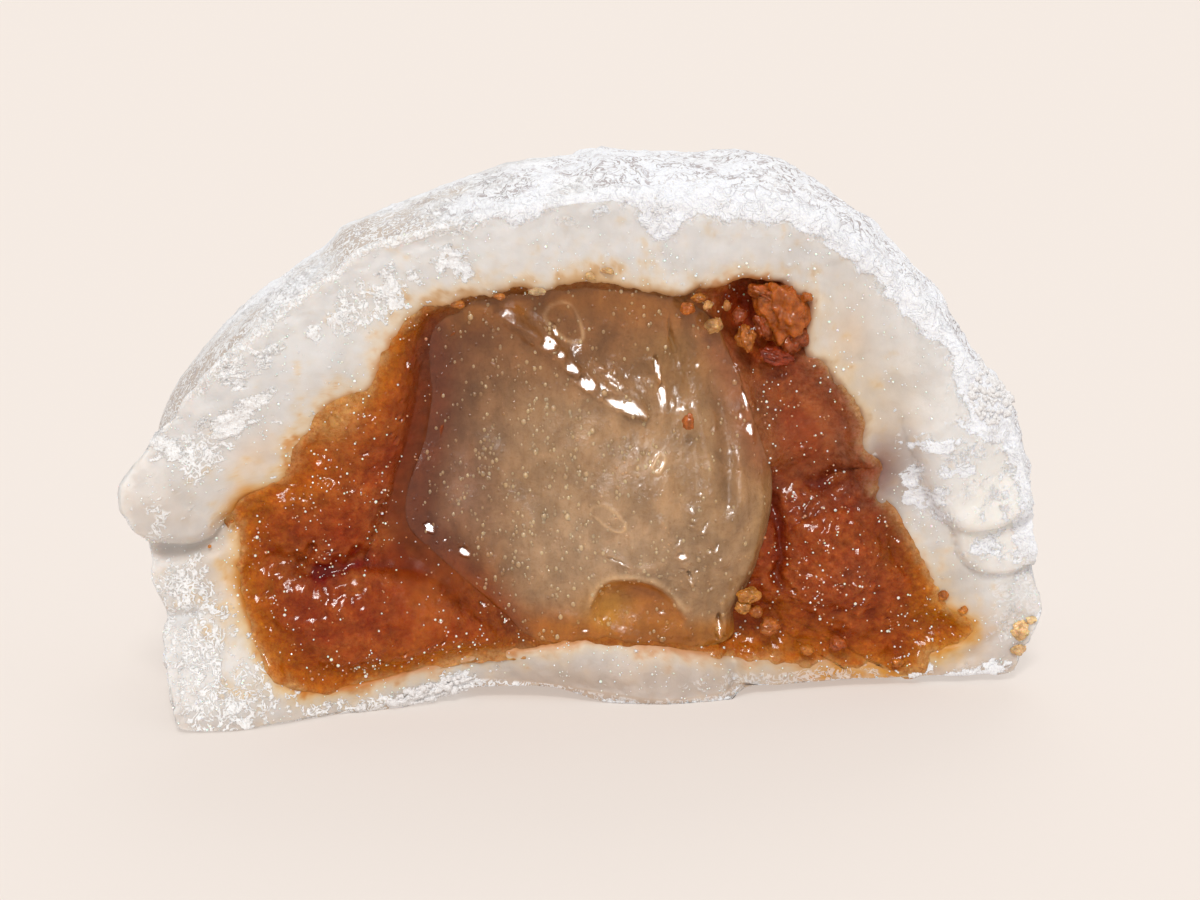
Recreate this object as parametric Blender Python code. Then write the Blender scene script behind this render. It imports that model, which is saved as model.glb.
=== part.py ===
"""Half of a filled mochi rice cake, cut face towards -Y, lying on its flat base.

Three solids: the rice dough wrapper, the brown paste that lines it and the jelly core inside the paste.
Lengths below are millimetres, and MM turns them into Blender's metres. Every solid is a stack of closed
rings, one behind the other, that is closed by a tip at both ends.
"""

import math

import bmesh
import bpy
import numpy as np
from mathutils import Vector

MM = 0.001

# Driving dimensions.
BACK_DEPTH = 29.0  # cut plane to the furthest point of the dome
GIRTH_DEPTH = 5.0  # cut plane to the widest section of the dome
CAVITY_DEPTH = 22.5  # cut plane to the bottom of the hollow that holds the paste
CORE_DEPTH = 14.0  # cut plane to the back of the jelly core
CUT_PLANE_Y = -12.5  # puts the origin under the middle of the half
PIECE_GAP = 0.36  # left between two neighbouring pieces
AROUND = 90  # points around each ring
DOME_RINGS = 9
EDGE_RINGS = 4
FACE_RINGS = 6
CAVITY_RINGS = 7
CORE_RINGS = 6
FLOOR_BLEND = 0.6  # height over which a ring rounds into the flat base

RING_CENTRE = (0.5, 11.5)  # every outline is star-shaped around this x, z
DOME_AXIS = (0.8, 10.0)  # x, z of the dome's rearmost point

# Outlines as x, z from the base's middle, seen from the cut side, clockwise from the bottom left corner.
GIRTH_OUTLINE = (
    (-23.2, 0.0), (-24.4, 4.0), (-24.9, 8.0), (-24.9, 12.0), (-24.3, 15.5), (-22.9, 18.6), (-20.0, 22.3),
    (-15.6, 25.7), (-11.4, 28.3), (-5.0, 30.5), (2.1, 31.6), (8.0, 31.3), (12.6, 30.6), (16.6, 27.9),
    (20.2, 24.6), (23.0, 21.2), (25.4, 17.6), (26.7, 13.6), (26.9, 9.0), (26.6, 4.5), (25.4, 0.0),
    (17.0, -5.0), (0.5, -7.0), (-16.0, -5.0),
)
CUT_OUTLINE = (
    (-22.4, 0.3), (-23.6, 1.8), (-24.0, 3.8), (-23.2, 5.9), (-23.9, 8.0), (-24.2, 9.8), (-25.9, 11.3),
    (-26.6, 13.1), (-26.1, 15.0), (-24.8, 16.6), (-23.1, 18.2), (-21.1, 20.4), (-18.5, 22.4), (-15.4, 24.5),
    (-12.6, 26.6), (-9.5, 28.1), (-5.4, 29.1), (-0.8, 29.6), (3.4, 29.5), (7.2, 29.0), (11.0, 28.6),
    (14.6, 27.4), (17.7, 25.3), (20.5, 22.4), (22.8, 19.6), (24.8, 16.6), (25.9, 13.4), (26.5, 10.0),
    (26.7, 7.2), (27.4, 4.6), (26.9, 2.2), (25.3, 0.2), (19.0, 0.0), (10.4, 0.3), (6.6, 0.1), (2.0, 0.5),
    (-1.6, 1.0), (-5.6, 1.3), (-8.6, 0.4), (-12.5, 0.0), (-18.3, 0.0),
)
FILLING_OUTLINE = (
    (-17.3, 2.5), (-18.4, 3.8), (-19.4, 6.0), (-19.8, 8.2), (-19.4, 10.1), (-20.0, 12.2), (-18.8, 13.4),
    (-16.9, 14.0), (-15.9, 15.7), (-14.4, 17.0), (-13.4, 18.4), (-11.8, 19.6), (-11.0, 21.2), (-10.0, 22.8),
    (-8.6, 23.9), (-4.5, 24.5), (-1.0, 24.5), (2.2, 24.5), (6.0, 24.1), (9.4, 24.8), (11.8, 24.3),
    (13.3, 23.4), (13.5, 21.4), (14.3, 19.8), (15.4, 18.2), (16.7, 16.3), (16.9, 14.6), (17.4, 13.2),
    (17.3, 11.9), (18.7, 10.2), (20.2, 7.8), (21.6, 5.4), (22.4, 3.4), (21.0, 2.0), (17.0, 1.7), (12.6, 2.0),
    (7.4, 2.4), (3.4, 3.0), (0.0, 3.3), (-3.0, 3.0), (-7.0, 2.9), (-11.4, 2.5), (-14.6, 1.9),
)
CORE_OUTLINE = (
    (-7.2, 22.4), (-3.6, 22.9), (0.5, 23.1), (4.6, 22.7), (7.4, 21.8), (8.6, 19.6), (9.7, 17.0), (10.5, 14.4),
    (10.9, 11.6), (10.4, 8.8), (9.4, 6.6), (8.0, 4.9), (4.6, 4.6), (1.0, 4.7), (-2.4, 4.7), (-4.3, 6.0),
    (-6.5, 7.8), (-8.3, 9.7), (-9.6, 11.6), (-9.1, 14.4), (-8.2, 17.0), (-7.8, 19.8),
)

# How far the cut face stands out of the cut plane: x, z, half width, half height, rise towards the viewer.
SKIN_SWELLS = (
    (-22.0, -1.0, 8.5, 6.0, 3.6),  # heel at the lower left
    (-24.8, 13.2, 3.2, 2.6, 1.5),  # lip that hangs over the left side
    (-23.0, 8.8, 3.5, 1.6, -0.9),  # groove under that lip
    (-16.0, 21.0, 8.0, 3.5, 0.7),  # thick shoulder at the upper left
    (5.0, 0.0, 5.5, 2.4, 1.7),  # sagging middle of the floor
    (-5.0, 1.0, 3.0, 2.0, -0.6),  # arched part of the floor
    (22.0, 15.0, 4.5, 4.6, 1.5),  # fold on the right
    (24.8, 7.0, 3.0, 1.7, 1.0),  # smaller fold under it
    (19.5, 11.5, 2.2, 3.0, -0.9),  # hollow beside the folds
)
PASTE_SWELLS = (
    (-13.0, 4.5, 7.0, 3.6, 3.0),  # lower left lobe
    (-3.5, 4.2, 3.0, 1.6, 0.8),  # its pointed end
    (-15.0, 12.5, 4.0, 3.2, 1.3),  # upper left lobe
    (-11.0, 18.6, 2.6, 3.6, 0.8),  # arm that reaches up the left side
    (-13.6, 9.2, 4.6, 1.3, -1.5),  # crease between the left lobes
    (-9.2, 10.4, 2.2, 2.4, -0.9),  # wet corner beside the core
    (15.2, 7.2, 4.6, 4.0, 1.5),  # lower right lobe
    (14.6, 12.8, 4.4, 1.4, -0.9),  # crease above it
    (10.6, 21.2, 2.4, 2.4, -3.2),  # pit at the upper right
    (12.4, 22.6, 1.6, 1.8, 2.8),  # crumb that hangs in the pit
)
CORE_SWELLS = (
    (4.5, 10.5, 6.5, 7.0, 2.4),  # pulled belly
    (8.5, 11.0, 2.4, 5.0, 0.7),  # lip along the right edge
    (-7.0, 17.0, 3.5, 7.0, -0.8),  # shaded left side
    (2.5, 6.0, 2.6, 1.6, -0.8),  # burst bubble
)
SKIN_RECESS, PASTE_RECESS, CORE_RECESS = 0.0, 0.7, 0.6  # behind the cut plane before the swells are added

MATERIALS = {
    # name: linear RGB, roughness
    "mochi_skin": ((0.78, 0.70, 0.65), 0.55),
    "paste_filling": ((0.30, 0.06, 0.015), 0.30),
    "jelly_core": ((0.36, 0.21, 0.11), 0.12),
}


def closed_spline(points, per_span=24):
    """Points along a closed Catmull-Rom curve through the given x, z points."""
    knots = np.array(points, float)
    before, after, beyond = np.roll(knots, 1, 0), np.roll(knots, -1, 0), np.roll(knots, -2, 0)
    spans = []
    for share in np.arange(per_span) / per_span:
        spans.append(
            0.5
            * (
                2 * knots
                + (after - before) * share
                + (2 * before - 5 * knots + 4 * after - beyond) * share**2
                + (3 * knots - before - 3 * after + beyond) * share**3
            )
        )
    return np.stack(spans, axis=1).reshape(-1, 2)


def star_outline(points, grow=0.0):
    """The outline as AROUND x, z points at even angles round RING_CENTRE, moved outwards by grow."""
    offset = closed_spline(points) - RING_CENTRE
    angle = np.arctan2(offset[:, 1], offset[:, 0])
    radius = np.hypot(offset[:, 0], offset[:, 1])
    order = np.argsort(angle)
    wanted = np.linspace(-math.pi, math.pi, AROUND, endpoint=False)
    radius = np.interp(wanted, angle[order], radius[order], period=2 * math.pi)
    slope = (np.roll(radius, -1) - np.roll(radius, 1)) / (2 * (wanted[1] - wanted[0]) * radius)
    radius += grow * np.minimum(np.sqrt(1 + slope**2), 2.5)
    return np.column_stack([radius * np.cos(wanted), radius * np.sin(wanted)]) + RING_CENTRE


def relief(outline, swells, recess):
    """Depth behind the cut plane of the face at each x, z point."""
    depth = np.full(len(outline), recess)
    for x, z, half_width, half_height, rise in swells:
        reach = ((outline[:, 0] - x) / half_width) ** 2 + ((outline[:, 1] - z) / half_height) ** 2
        depth -= rise * np.exp(-reach)
    return depth


def ring(outline, depth):
    """A ring of x, y, z points: the outline at that depth, one number or one for each point."""
    return np.column_stack([outline[:, 0], np.broadcast_to(depth, len(outline)), outline[:, 1]])


def rest_on_floor(rings):
    """Flattens what is below z 0 and rounds each ring into it, so that the base is a true plane."""
    for points in rings:
        height = points[:, 2]
        blended = (height + FLOOR_BLEND) ** 2 / (4 * FLOOR_BLEND)
        points[:, 2] = np.where(height < -FLOOR_BLEND, 0, np.where(height < FLOOR_BLEND, blended, height))
    return rings


def narrowed(outline, depth, mouth_depth, end_depth, axis):
    """The outline drawn in towards the axis as a bowl is: full size at its mouth and nothing at its end."""
    share = np.clip((depth - mouth_depth) / (end_depth - mouth_depth), 0, 1)
    return axis + (outline - axis) * np.sqrt(1 - share**2)[:, None]


def bowl_rings(outline, front_depth, mouth_depth, end_depth, axis, count):
    """Rings along a bowl from the front depth, one number for each point, to just short of its end."""
    rings = []
    for turn in np.linspace(0, math.pi / 2, count, endpoint=False):
        depth = front_depth + (end_depth - front_depth) * math.sin(turn)
        rings.append(ring(narrowed(outline, depth, mouth_depth, end_depth, axis), depth))
    return rings


def face_rings(outer, inner, swells, recess, count):
    """Rings across the cut face from the outer outline to the inner one, both included."""
    rings = []
    for share in np.linspace(0, 1, count):
        across = outer + (inner - outer) * share
        rings.append(ring(across, relief(across, swells, recess)))
    return rings


def wall_rings(outline, swells, recess, end_depth, count):
    """Rings along the wall of a hollow in the food, or of what fills it, from the cut face to its end."""
    front_depth = relief(outline, swells, recess)
    return bowl_rings(outline, front_depth, 0, end_depth, RING_CENTRE, count)


def edge_outline(rings):
    """The x, z outline of the first of these rings."""
    return rings[0][:, [0, 2]]


def solid_from_rings(name, first_tip, rings, last_tip):
    """Makes a closed mesh object whose rings are joined by quads and whose two tips close the ends."""
    shape = bmesh.new()

    def vertex(point):
        x, y, z = point
        return shape.verts.new(Vector((x, y + CUT_PLANE_Y, z)) * MM)

    loops = [[vertex(point) for point in points] for points in rings]
    for loop, following in zip(loops, loops[1:]):
        for i in range(AROUND):
            j = (i + 1) % AROUND
            shape.faces.new((loop[i], loop[j], following[j], following[i]))
    for tip, loop in ((vertex(first_tip), loops[0]), (vertex(last_tip), loops[-1])):
        for i in range(AROUND):
            shape.faces.new((tip, loop[i], loop[(i + 1) % AROUND]))
    bmesh.ops.recalc_face_normals(shape, faces=shape.faces)
    mesh = bpy.data.meshes.new(name)
    shape.to_mesh(mesh)
    shape.free()
    mesh.shade_smooth()
    mesh.set_sharp_from_angle(angle=math.radians(50))
    mesh.materials.append(material(name))
    solid = bpy.data.objects.new(name, mesh)
    bpy.context.scene.collection.objects.link(solid)
    return solid


def material(name):
    colour, roughness = MATERIALS[name]
    made = bpy.data.materials.new(name)
    made.use_nodes = True
    shader = made.node_tree.nodes["Principled BSDF"]
    shader.inputs["Base Color"].default_value = (*colour, 1.0)
    shader.inputs["Roughness"].default_value = roughness
    shader.inputs["Metallic"].default_value = 0.0
    return made


def tip(axis, depth):
    return (axis[0], depth, axis[1])


def dome_rings():
    """The outside of the dough, from its rearmost ring to the rounded edge of the cut."""
    girth, cut = star_outline(GIRTH_OUTLINE), star_outline(CUT_OUTLINE)
    girth_depth = np.full(AROUND, GIRTH_DEPTH)
    behind = bowl_rings(girth, girth_depth, GIRTH_DEPTH, BACK_DEPTH, DOME_AXIS, DOME_RINGS)
    edge_depth = relief(cut, SKIN_SWELLS, SKIN_RECESS)
    rounded = []
    for turn in np.linspace(0, math.pi / 2, EDGE_RINGS + 1)[1:-1]:
        between = cut + (girth - cut) * math.cos(turn)
        rounded.append(ring(between, GIRTH_DEPTH + (edge_depth - GIRTH_DEPTH) * math.sin(turn)))
    return behind[::-1] + rounded


def make_skin():
    cut, opening = star_outline(CUT_OUTLINE), star_outline(FILLING_OUTLINE)
    hollow = wall_rings(opening, SKIN_SWELLS, SKIN_RECESS, CAVITY_DEPTH, CAVITY_RINGS)
    front = face_rings(cut, edge_outline(hollow), SKIN_SWELLS, SKIN_RECESS, FACE_RINGS)
    rings = rest_on_floor(dome_rings() + front) + hollow[1:]
    solid_from_rings("mochi_skin", tip(DOME_AXIS, BACK_DEPTH), rings, tip(RING_CENTRE, CAVITY_DEPTH))


def make_paste():
    outer = star_outline(FILLING_OUTLINE, grow=-PIECE_GAP)
    inner = star_outline(CORE_OUTLINE, grow=PIECE_GAP)
    back_depth, bed_depth = CAVITY_DEPTH - PIECE_GAP, CORE_DEPTH + PIECE_GAP
    outside = wall_rings(outer, PASTE_SWELLS, PASTE_RECESS, back_depth, CAVITY_RINGS)
    bed = wall_rings(inner, PASTE_SWELLS, PASTE_RECESS, bed_depth, CORE_RINGS)
    front = face_rings(edge_outline(outside), edge_outline(bed), PASTE_SWELLS, PASTE_RECESS, FACE_RINGS)
    rings = outside[:0:-1] + front + bed[1:]
    solid_from_rings("paste_filling", tip(RING_CENTRE, back_depth), rings, tip(RING_CENTRE, bed_depth))


def make_core():
    outline = star_outline(CORE_OUTLINE)
    centre = np.broadcast_to(RING_CENTRE, outline.shape)
    back = wall_rings(outline, CORE_SWELLS, CORE_RECESS, CORE_DEPTH, CORE_RINGS)
    front = face_rings(edge_outline(back), centre, CORE_SWELLS, CORE_RECESS, CORE_RINGS + 1)
    rings = back[:0:-1] + front[:-1]
    solid_from_rings("jelly_core", tip(RING_CENTRE, CORE_DEPTH), rings, tuple(front[-1][0]))


def main():
    for old in list(bpy.data.objects):
        bpy.data.objects.remove(old)
    make_skin()
    make_paste()
    make_core()


main()
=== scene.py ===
"""Looks of the cut mochi half: translucent dusted dough, wet grainy paste and a cloudy jelly core.

Everything is shaped in millimetres as (x, depth, z). Depth runs from the cut plane into the half, and
place() turns a point into the row frame. Each solid is a stack of closed rings, as in the CAD model, but
with about a hundred times as many points, which relief, noise and creases then move.
"""

import math

import bmesh
import bpy
import numpy as np
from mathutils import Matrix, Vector


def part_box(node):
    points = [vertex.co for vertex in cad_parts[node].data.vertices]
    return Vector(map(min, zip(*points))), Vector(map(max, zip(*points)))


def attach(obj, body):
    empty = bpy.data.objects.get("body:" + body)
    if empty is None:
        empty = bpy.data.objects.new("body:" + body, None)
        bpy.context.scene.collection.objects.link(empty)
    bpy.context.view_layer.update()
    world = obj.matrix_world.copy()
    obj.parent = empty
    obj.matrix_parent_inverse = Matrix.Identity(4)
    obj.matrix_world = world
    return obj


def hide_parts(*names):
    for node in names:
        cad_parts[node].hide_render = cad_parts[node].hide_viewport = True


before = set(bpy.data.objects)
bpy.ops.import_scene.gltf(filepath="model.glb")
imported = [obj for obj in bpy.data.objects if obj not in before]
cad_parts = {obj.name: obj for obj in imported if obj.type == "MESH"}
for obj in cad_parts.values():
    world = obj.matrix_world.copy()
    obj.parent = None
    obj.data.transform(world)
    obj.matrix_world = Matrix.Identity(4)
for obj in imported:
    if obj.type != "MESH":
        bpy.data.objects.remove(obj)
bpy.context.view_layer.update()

MM = 0.001
BACK_DEPTH = 29.0
GIRTH_DEPTH = 5.0
CUT_PLANE_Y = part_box("mochi_skin")[1].y / MM - BACK_DEPTH
RING_CENTRE = np.array((0.5, 11.5))
DOME_AXIS = np.array((0.8, 10.0))

GIRTH = (
    (-23.4, 0.0), (-24.5, 4.0), (-24.9, 8.0), (-25.0, 12.0), (-24.4, 15.5), (-23.2, 18.6), (-21.3, 21.4),
    (-19.3, 23.6), (-17.0, 25.2), (-14.6, 26.5), (-13.4, 27.7), (-11.2, 28.6), (-8.0, 29.6), (-5.0, 30.3),
    (-1.6, 30.9), (1.0, 31.1), (2.1, 31.6), (4.4, 31.5), (6.2, 31.4), (8.6, 31.2), (10.8, 31.3), (12.8, 30.7),
    (14.6, 29.5), (16.8, 27.8), (19.0, 25.9), (21.0, 23.7), (22.9, 21.2), (24.3, 19.3), (25.7, 17.3),
    (26.6, 14.0), (27.1, 10.5), (26.9, 7.0), (27.1, 4.5), (26.4, 2.0), (25.2, 0.0), (17.0, -5.0), (0.5, -7.0),
    (-16.0, -5.0),
)
CUT = (
    (-23.5, 0.2), (-23.9, 1.4), (-24.1, 2.7), (-24.3, 4.3), (-24.1, 5.3), (-23.5, 6.1), (-23.9, 7.0),
    (-24.7, 8.3), (-24.8, 10.0), (-25.2, 11.0), (-26.1, 11.9), (-26.6, 13.1), (-26.6, 14.2), (-26.1, 15.1),
    (-25.3, 15.9), (-24.6, 16.8), (-23.5, 18.0), (-22.4, 19.4), (-21.3, 20.6), (-20.2, 21.5), (-18.8, 22.6),
    (-17.2, 23.6), (-15.6, 24.9), (-14.2, 26.0), (-12.8, 27.1), (-11.0, 27.8), (-8.6, 28.4), (-5.6, 29.0),
    (-2.4, 29.5), (0.6, 29.9), (3.4, 29.8), (6.4, 29.3), (9.4, 29.2), (12.2, 28.7), (14.6, 27.5), (17.4, 25.4),
    (19.6, 23.2), (21.4, 21.2), (23.2, 19.0), (24.8, 16.8), (25.8, 14.6), (26.5, 12.0), (26.8, 9.6),
    (26.9, 7.6), (27.2, 6.0), (27.6, 4.6), (27.3, 3.4), (26.6, 2.2), (26.1, 1.0), (25.3, 0.5), (22.0, 0.35),
    (16.0, 0.35), (10.6, 0.5), (9.6, 0.7), (8.6, 0.5), (6.6, 0.3), (4.4, 0.3), (2.0, 0.6), (-0.6, 0.9),
    (-3.4, 1.2), (-6.2, 1.5), (-8.6, 0.9), (-12.0, 0.4), (-17.0, 0.1), (-21.0, 0.0),
)
FILLING = (
    (-17.2, 2.3), (-18.0, 3.2), (-18.9, 4.8), (-19.5, 6.6), (-19.8, 8.2), (-19.5, 9.8), (-19.6, 11.0),
    (-20.0, 12.2), (-19.4, 13.1), (-18.2, 13.5), (-17.0, 13.9), (-16.3, 14.8), (-16.1, 16.0), (-15.2, 17.1),
    (-14.6, 18.3), (-13.4, 18.8), (-12.2, 19.3), (-11.6, 20.3), (-11.1, 21.6), (-10.4, 22.6), (-9.6, 23.5),
    (-8.6, 24.1), (-7.4, 24.1), (-6.4, 24.6), (-5.2, 24.5), (-3.4, 25.1), (-2.2, 24.6), (-0.4, 25.2),
    (1.4, 25.1), (3.0, 24.7), (4.6, 24.5), (6.0, 24.2), (7.0, 24.6), (8.3, 24.7), (9.2, 25.1), (10.4, 25.1),
    (11.8, 24.6), (12.6, 24.0), (13.3, 23.5), (13.2, 22.2), (13.1, 21.2), (13.4, 20.4), (14.2, 19.8),
    (15.0, 18.9), (15.9, 17.6), (16.5, 16.4), (16.4, 15.4), (16.6, 14.4), (17.6, 13.7), (17.2, 12.7),
    (17.4, 11.6), (18.2, 10.6), (18.8, 9.4), (19.6, 8.3), (20.4, 7.2), (20.9, 6.0), (21.4, 4.9), (22.6, 4.3),
    (23.2, 3.4), (22.4, 2.5), (20.8, 2.1), (20.0, 1.1), (18.6, 0.9), (17.4, 1.6), (15.6, 1.4), (14.6, 1.9),
    (13.4, 1.8), (12.0, 2.1), (10.4, 2.3), (8.8, 2.4), (7.2, 2.7), (5.4, 3.1), (3.4, 3.4), (1.4, 3.7),
    (-0.6, 3.6), (-2.6, 3.3), (-4.8, 3.1), (-7.0, 2.9), (-9.4, 2.4), (-11.8, 2.0), (-14.6, 1.6),
)
CORE = (
    (-7.6, 22.9), (-5.6, 23.8), (-2.8, 24.2), (0.5, 24.5), (3.6, 24.2), (6.2, 23.6), (7.9, 22.5), (8.6, 21.0),
    (9.3, 19.4), (9.9, 17.6), (10.6, 15.6), (11.2, 13.6), (11.3, 11.6), (10.9, 9.4), (10.4, 7.6), (9.8, 6.3),
    (9.2, 5.0), (8.6, 3.8), (6.8, 3.2), (4.0, 3.6), (1.2, 3.9), (-1.4, 3.8), (-3.2, 4.2), (-4.6, 5.6),
    (-6.4, 7.2), (-8.2, 8.9), (-9.9, 10.8), (-9.9, 13.0), (-9.0, 15.4), (-8.5, 17.8), (-8.5, 20.2),
    (-8.4, 21.8),
)

# ---------------------------------------------------------------- noise


LATTICE = np.random.default_rng(20).permutation(512)
DIRECTIONS = np.random.default_rng(21).normal(size=(512, 3))
DIRECTIONS /= np.linalg.norm(DIRECTIONS, axis=1)[:, None]


def corner_hash(cell, seed):
    """A number from 0 to 511 for each integer x, y, z cell."""
    mixed = LATTICE[(cell[..., 0] + 37 * seed) & 511]
    mixed = LATTICE[(mixed + cell[..., 1]) & 511]
    return LATTICE[(mixed + cell[..., 2]) & 511]


def noise(points, size, seed=0):
    """Smooth noise from about -1 to 1, whose bumps are as wide as size."""
    scaled = points / size
    base = np.floor(scaled).astype(np.int64)
    inside = scaled - base
    fade = inside**3 * (inside * (inside * 6 - 15) + 10)
    total = np.zeros(points.shape[:-1])
    for corner in np.ndindex(2, 2, 2):
        corner = np.array(corner)
        slope = DIRECTIONS[corner_hash(base + corner, seed)]
        weight = np.prod(np.where(corner, fade, 1 - fade), axis=-1)
        total += weight * np.sum(slope * (inside - corner), axis=-1)
    return total * 1.6


def layered(points, size, octaves=4, seed=0, gain=0.5):
    """Noise with finer and weaker layers added."""
    return sum(gain**i * noise(points, size / 2**i, seed + i) for i in range(octaves))


def ridged(points, size, octaves=2, seed=0):
    """Noise with sharp crests, from 0 to about 1."""
    return sum(0.5**i * (1 - np.abs(noise(points, size / 2**i, seed + i)) * 1.6) for i in range(octaves)) / 1.6


def cells(points, size, seed=0):
    """Distances to the nearest and second nearest of scattered points, in units of size."""
    scaled = points / size
    base = np.floor(scaled).astype(np.int64)
    first = np.full(points.shape[:-1], 9.0)
    second = first.copy()
    for shift in np.ndindex(3, 3, 3):
        cell = base + np.array(shift) - 1
        spot = cell + 0.5 + 0.45 * DIRECTIONS[corner_hash(cell, seed)]
        gap = np.linalg.norm(scaled - spot, axis=-1)
        second = np.minimum(second, np.maximum(first, gap))
        first = np.minimum(first, gap)
    return first, second


def smooth(value, low, high):
    """0 below low, 1 above high and a smooth step between them."""
    share = np.clip((value - low) / (high - low), 0, 1)
    return share * share * (3 - 2 * share)


# ---------------------------------------------------------------- outlines and marks on the cut face


def curve_through(points, closed=True, per_span=16):
    """Points along a Catmull-Rom curve through the given x, z points."""
    knots = np.array(points, float)
    if not closed:
        knots = np.vstack([2 * knots[0] - knots[1], knots, 2 * knots[-1] - knots[-2]])
    before, after, beyond = np.roll(knots, 1, 0), np.roll(knots, -1, 0), np.roll(knots, -2, 0)
    share = (np.arange(per_span) / per_span)[None, :, None]
    knots, before, after, beyond = (k[:, None] for k in (knots, before, after, beyond))
    curve = 0.5 * (
        2 * knots
        + (after - before) * share
        + (2 * before - 5 * knots + 4 * after - beyond) * share**2
        + (3 * knots - before - 3 * after + beyond) * share**3
    )
    if not closed:
        curve = curve[1:-2]
    return curve.reshape(-1, 2)


def even_angles(points, count):
    """Directions from RING_CENTRE to count points that are evenly spaced along the outline."""
    curve = curve_through(points)
    curve = np.vstack([curve, curve[:1]])
    length = np.concatenate([[0], np.cumsum(np.linalg.norm(np.diff(curve, axis=0), axis=1))])
    wanted = np.linspace(0, length[-1], count, endpoint=False)
    even = np.column_stack([np.interp(wanted, length, curve[:, k]) for k in (0, 1)]) - RING_CENTRE
    angles = np.unwrap(np.arctan2(even[:, 1], even[:, 0]))
    if angles[-1] < angles[0]:
        angles = angles[::-1]
    # Steep stretches of an outline can turn back a little, so the angles are made to rise.
    angles = np.maximum.accumulate(angles)
    turn = np.linspace(angles[0], angles[0] + 2 * math.pi, count, endpoint=False)
    return 0.97 * angles + 0.03 * turn


def at_angles(points, angles, grow=0.0):
    """The outline's x, z points in those directions from RING_CENTRE, with radii longer by grow."""
    offset = curve_through(points) - RING_CENTRE
    angle = np.arctan2(offset[:, 1], offset[:, 0])
    order = np.argsort(angle)
    radius = np.interp(angles, angle[order], np.hypot(*offset.T)[order], period=2 * math.pi) + grow
    return np.column_stack([radius * np.cos(angles), radius * np.sin(angles)]) + RING_CENTRE


def from_path(points, path, closed=False):
    """For each x, z point its distance from the path, its side (positive to the left), and how far along it is."""
    curve = curve_through(path, closed, 6)
    if closed:
        curve = np.vstack([curve, curve[:1]])
    flat = points.reshape(-1, 2)
    best = np.full(len(flat), 1e9)
    side = np.ones(len(flat))
    along = np.zeros(len(flat))
    for i, (a, b) in enumerate(zip(curve, curve[1:])):
        run = b - a
        share = np.clip((flat - a) @ run / max(run @ run, 1e-12), 0, 1)
        gap = flat - a - share[:, None] * run
        distance = np.hypot(gap[:, 0], gap[:, 1])
        nearer = distance < best
        best = np.where(nearer, distance, best)
        turn = run[0] * gap[:, 1] - run[1] * gap[:, 0]
        side = np.where(nearer, np.sign(turn) + (turn == 0), side)
        along = np.where(nearer, (i + share) / (len(curve) - 1), along)
    return tuple(found.reshape(points.shape[:-1]) for found in (best, side, along))


def blob(xz, x, z, half_width, half_height, tilt=0.0):
    """A soft spot that is 1 at x, z and fades outwards. Tilt turns it, in degrees."""
    c, s = math.cos(math.radians(tilt)), math.sin(math.radians(tilt))
    dx, dz = xz[..., 0] - x, xz[..., 1] - z
    return np.exp(-(((dx * c + dz * s) / half_width) ** 2) - ((dz * c - dx * s) / half_height) ** 2)


def stroke(xz, path, width):
    """A soft line along the path."""
    return np.exp(-((from_path(xz, path)[0] / width) ** 2))


def scarp(xz, path, rise, roll, reach):
    """A lip on the path's left that rises steeply from the path, dies away behind it and fades at both ends."""
    distance, side, along = from_path(xz, path)
    inside = np.where(side > 0, distance, 0)
    climb = np.sqrt(np.clip(1 - (1 - np.clip(inside / roll, 0, 1)) ** 2, 0, 1))
    fade = smooth(along, 0, 0.2) * smooth(1 - along, 0, 0.2)
    return rise * climb * fade * np.exp(-((inside / reach) ** 2))


def inside_of(xz, path):
    """Distance inside a closed outline, negative outside."""
    distance = from_path(xz, path, closed=True)[0]
    curve = curve_through(path, True, 6)
    flat = xz.reshape(-1, 2)
    crossings = np.zeros(len(flat), int)
    for a, b in zip(curve, np.roll(curve, -1, 0)):
        spans = (a[1] > flat[:, 1]) != (b[1] > flat[:, 1])
        height = b[1] - a[1] if b[1] != a[1] else 1e-12
        crossings += spans & (flat[:, 0] < (b[0] - a[0]) * (flat[:, 1] - a[1]) / height + a[0])
    return np.where(crossings.reshape(xz.shape[:-1]) % 2, distance, -distance)


# ---------------------------------------------------------------- rings to meshes


def place(points):
    """Row-frame metres of (x, depth, z) points in millimetres."""
    return (points + (0, CUT_PLANE_Y, 0)) * MM


def ring(outline, depth):
    return np.column_stack([outline[:, 0], np.broadcast_to(depth, len(outline)), outline[:, 1]])


def normals_of(points, faces):
    """Unit normals of the points of a triangle mesh."""
    a, b, c = (points[faces[:, k]] for k in range(3))
    across = np.cross(b - a, c - a)
    total = np.zeros_like(points)
    for k in range(3):
        for axis in range(3):
            total[:, axis] += np.bincount(faces[:, k], across[:, axis], len(points))
    return total / np.maximum(np.linalg.norm(total, axis=1), 1e-12)[:, None]


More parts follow.
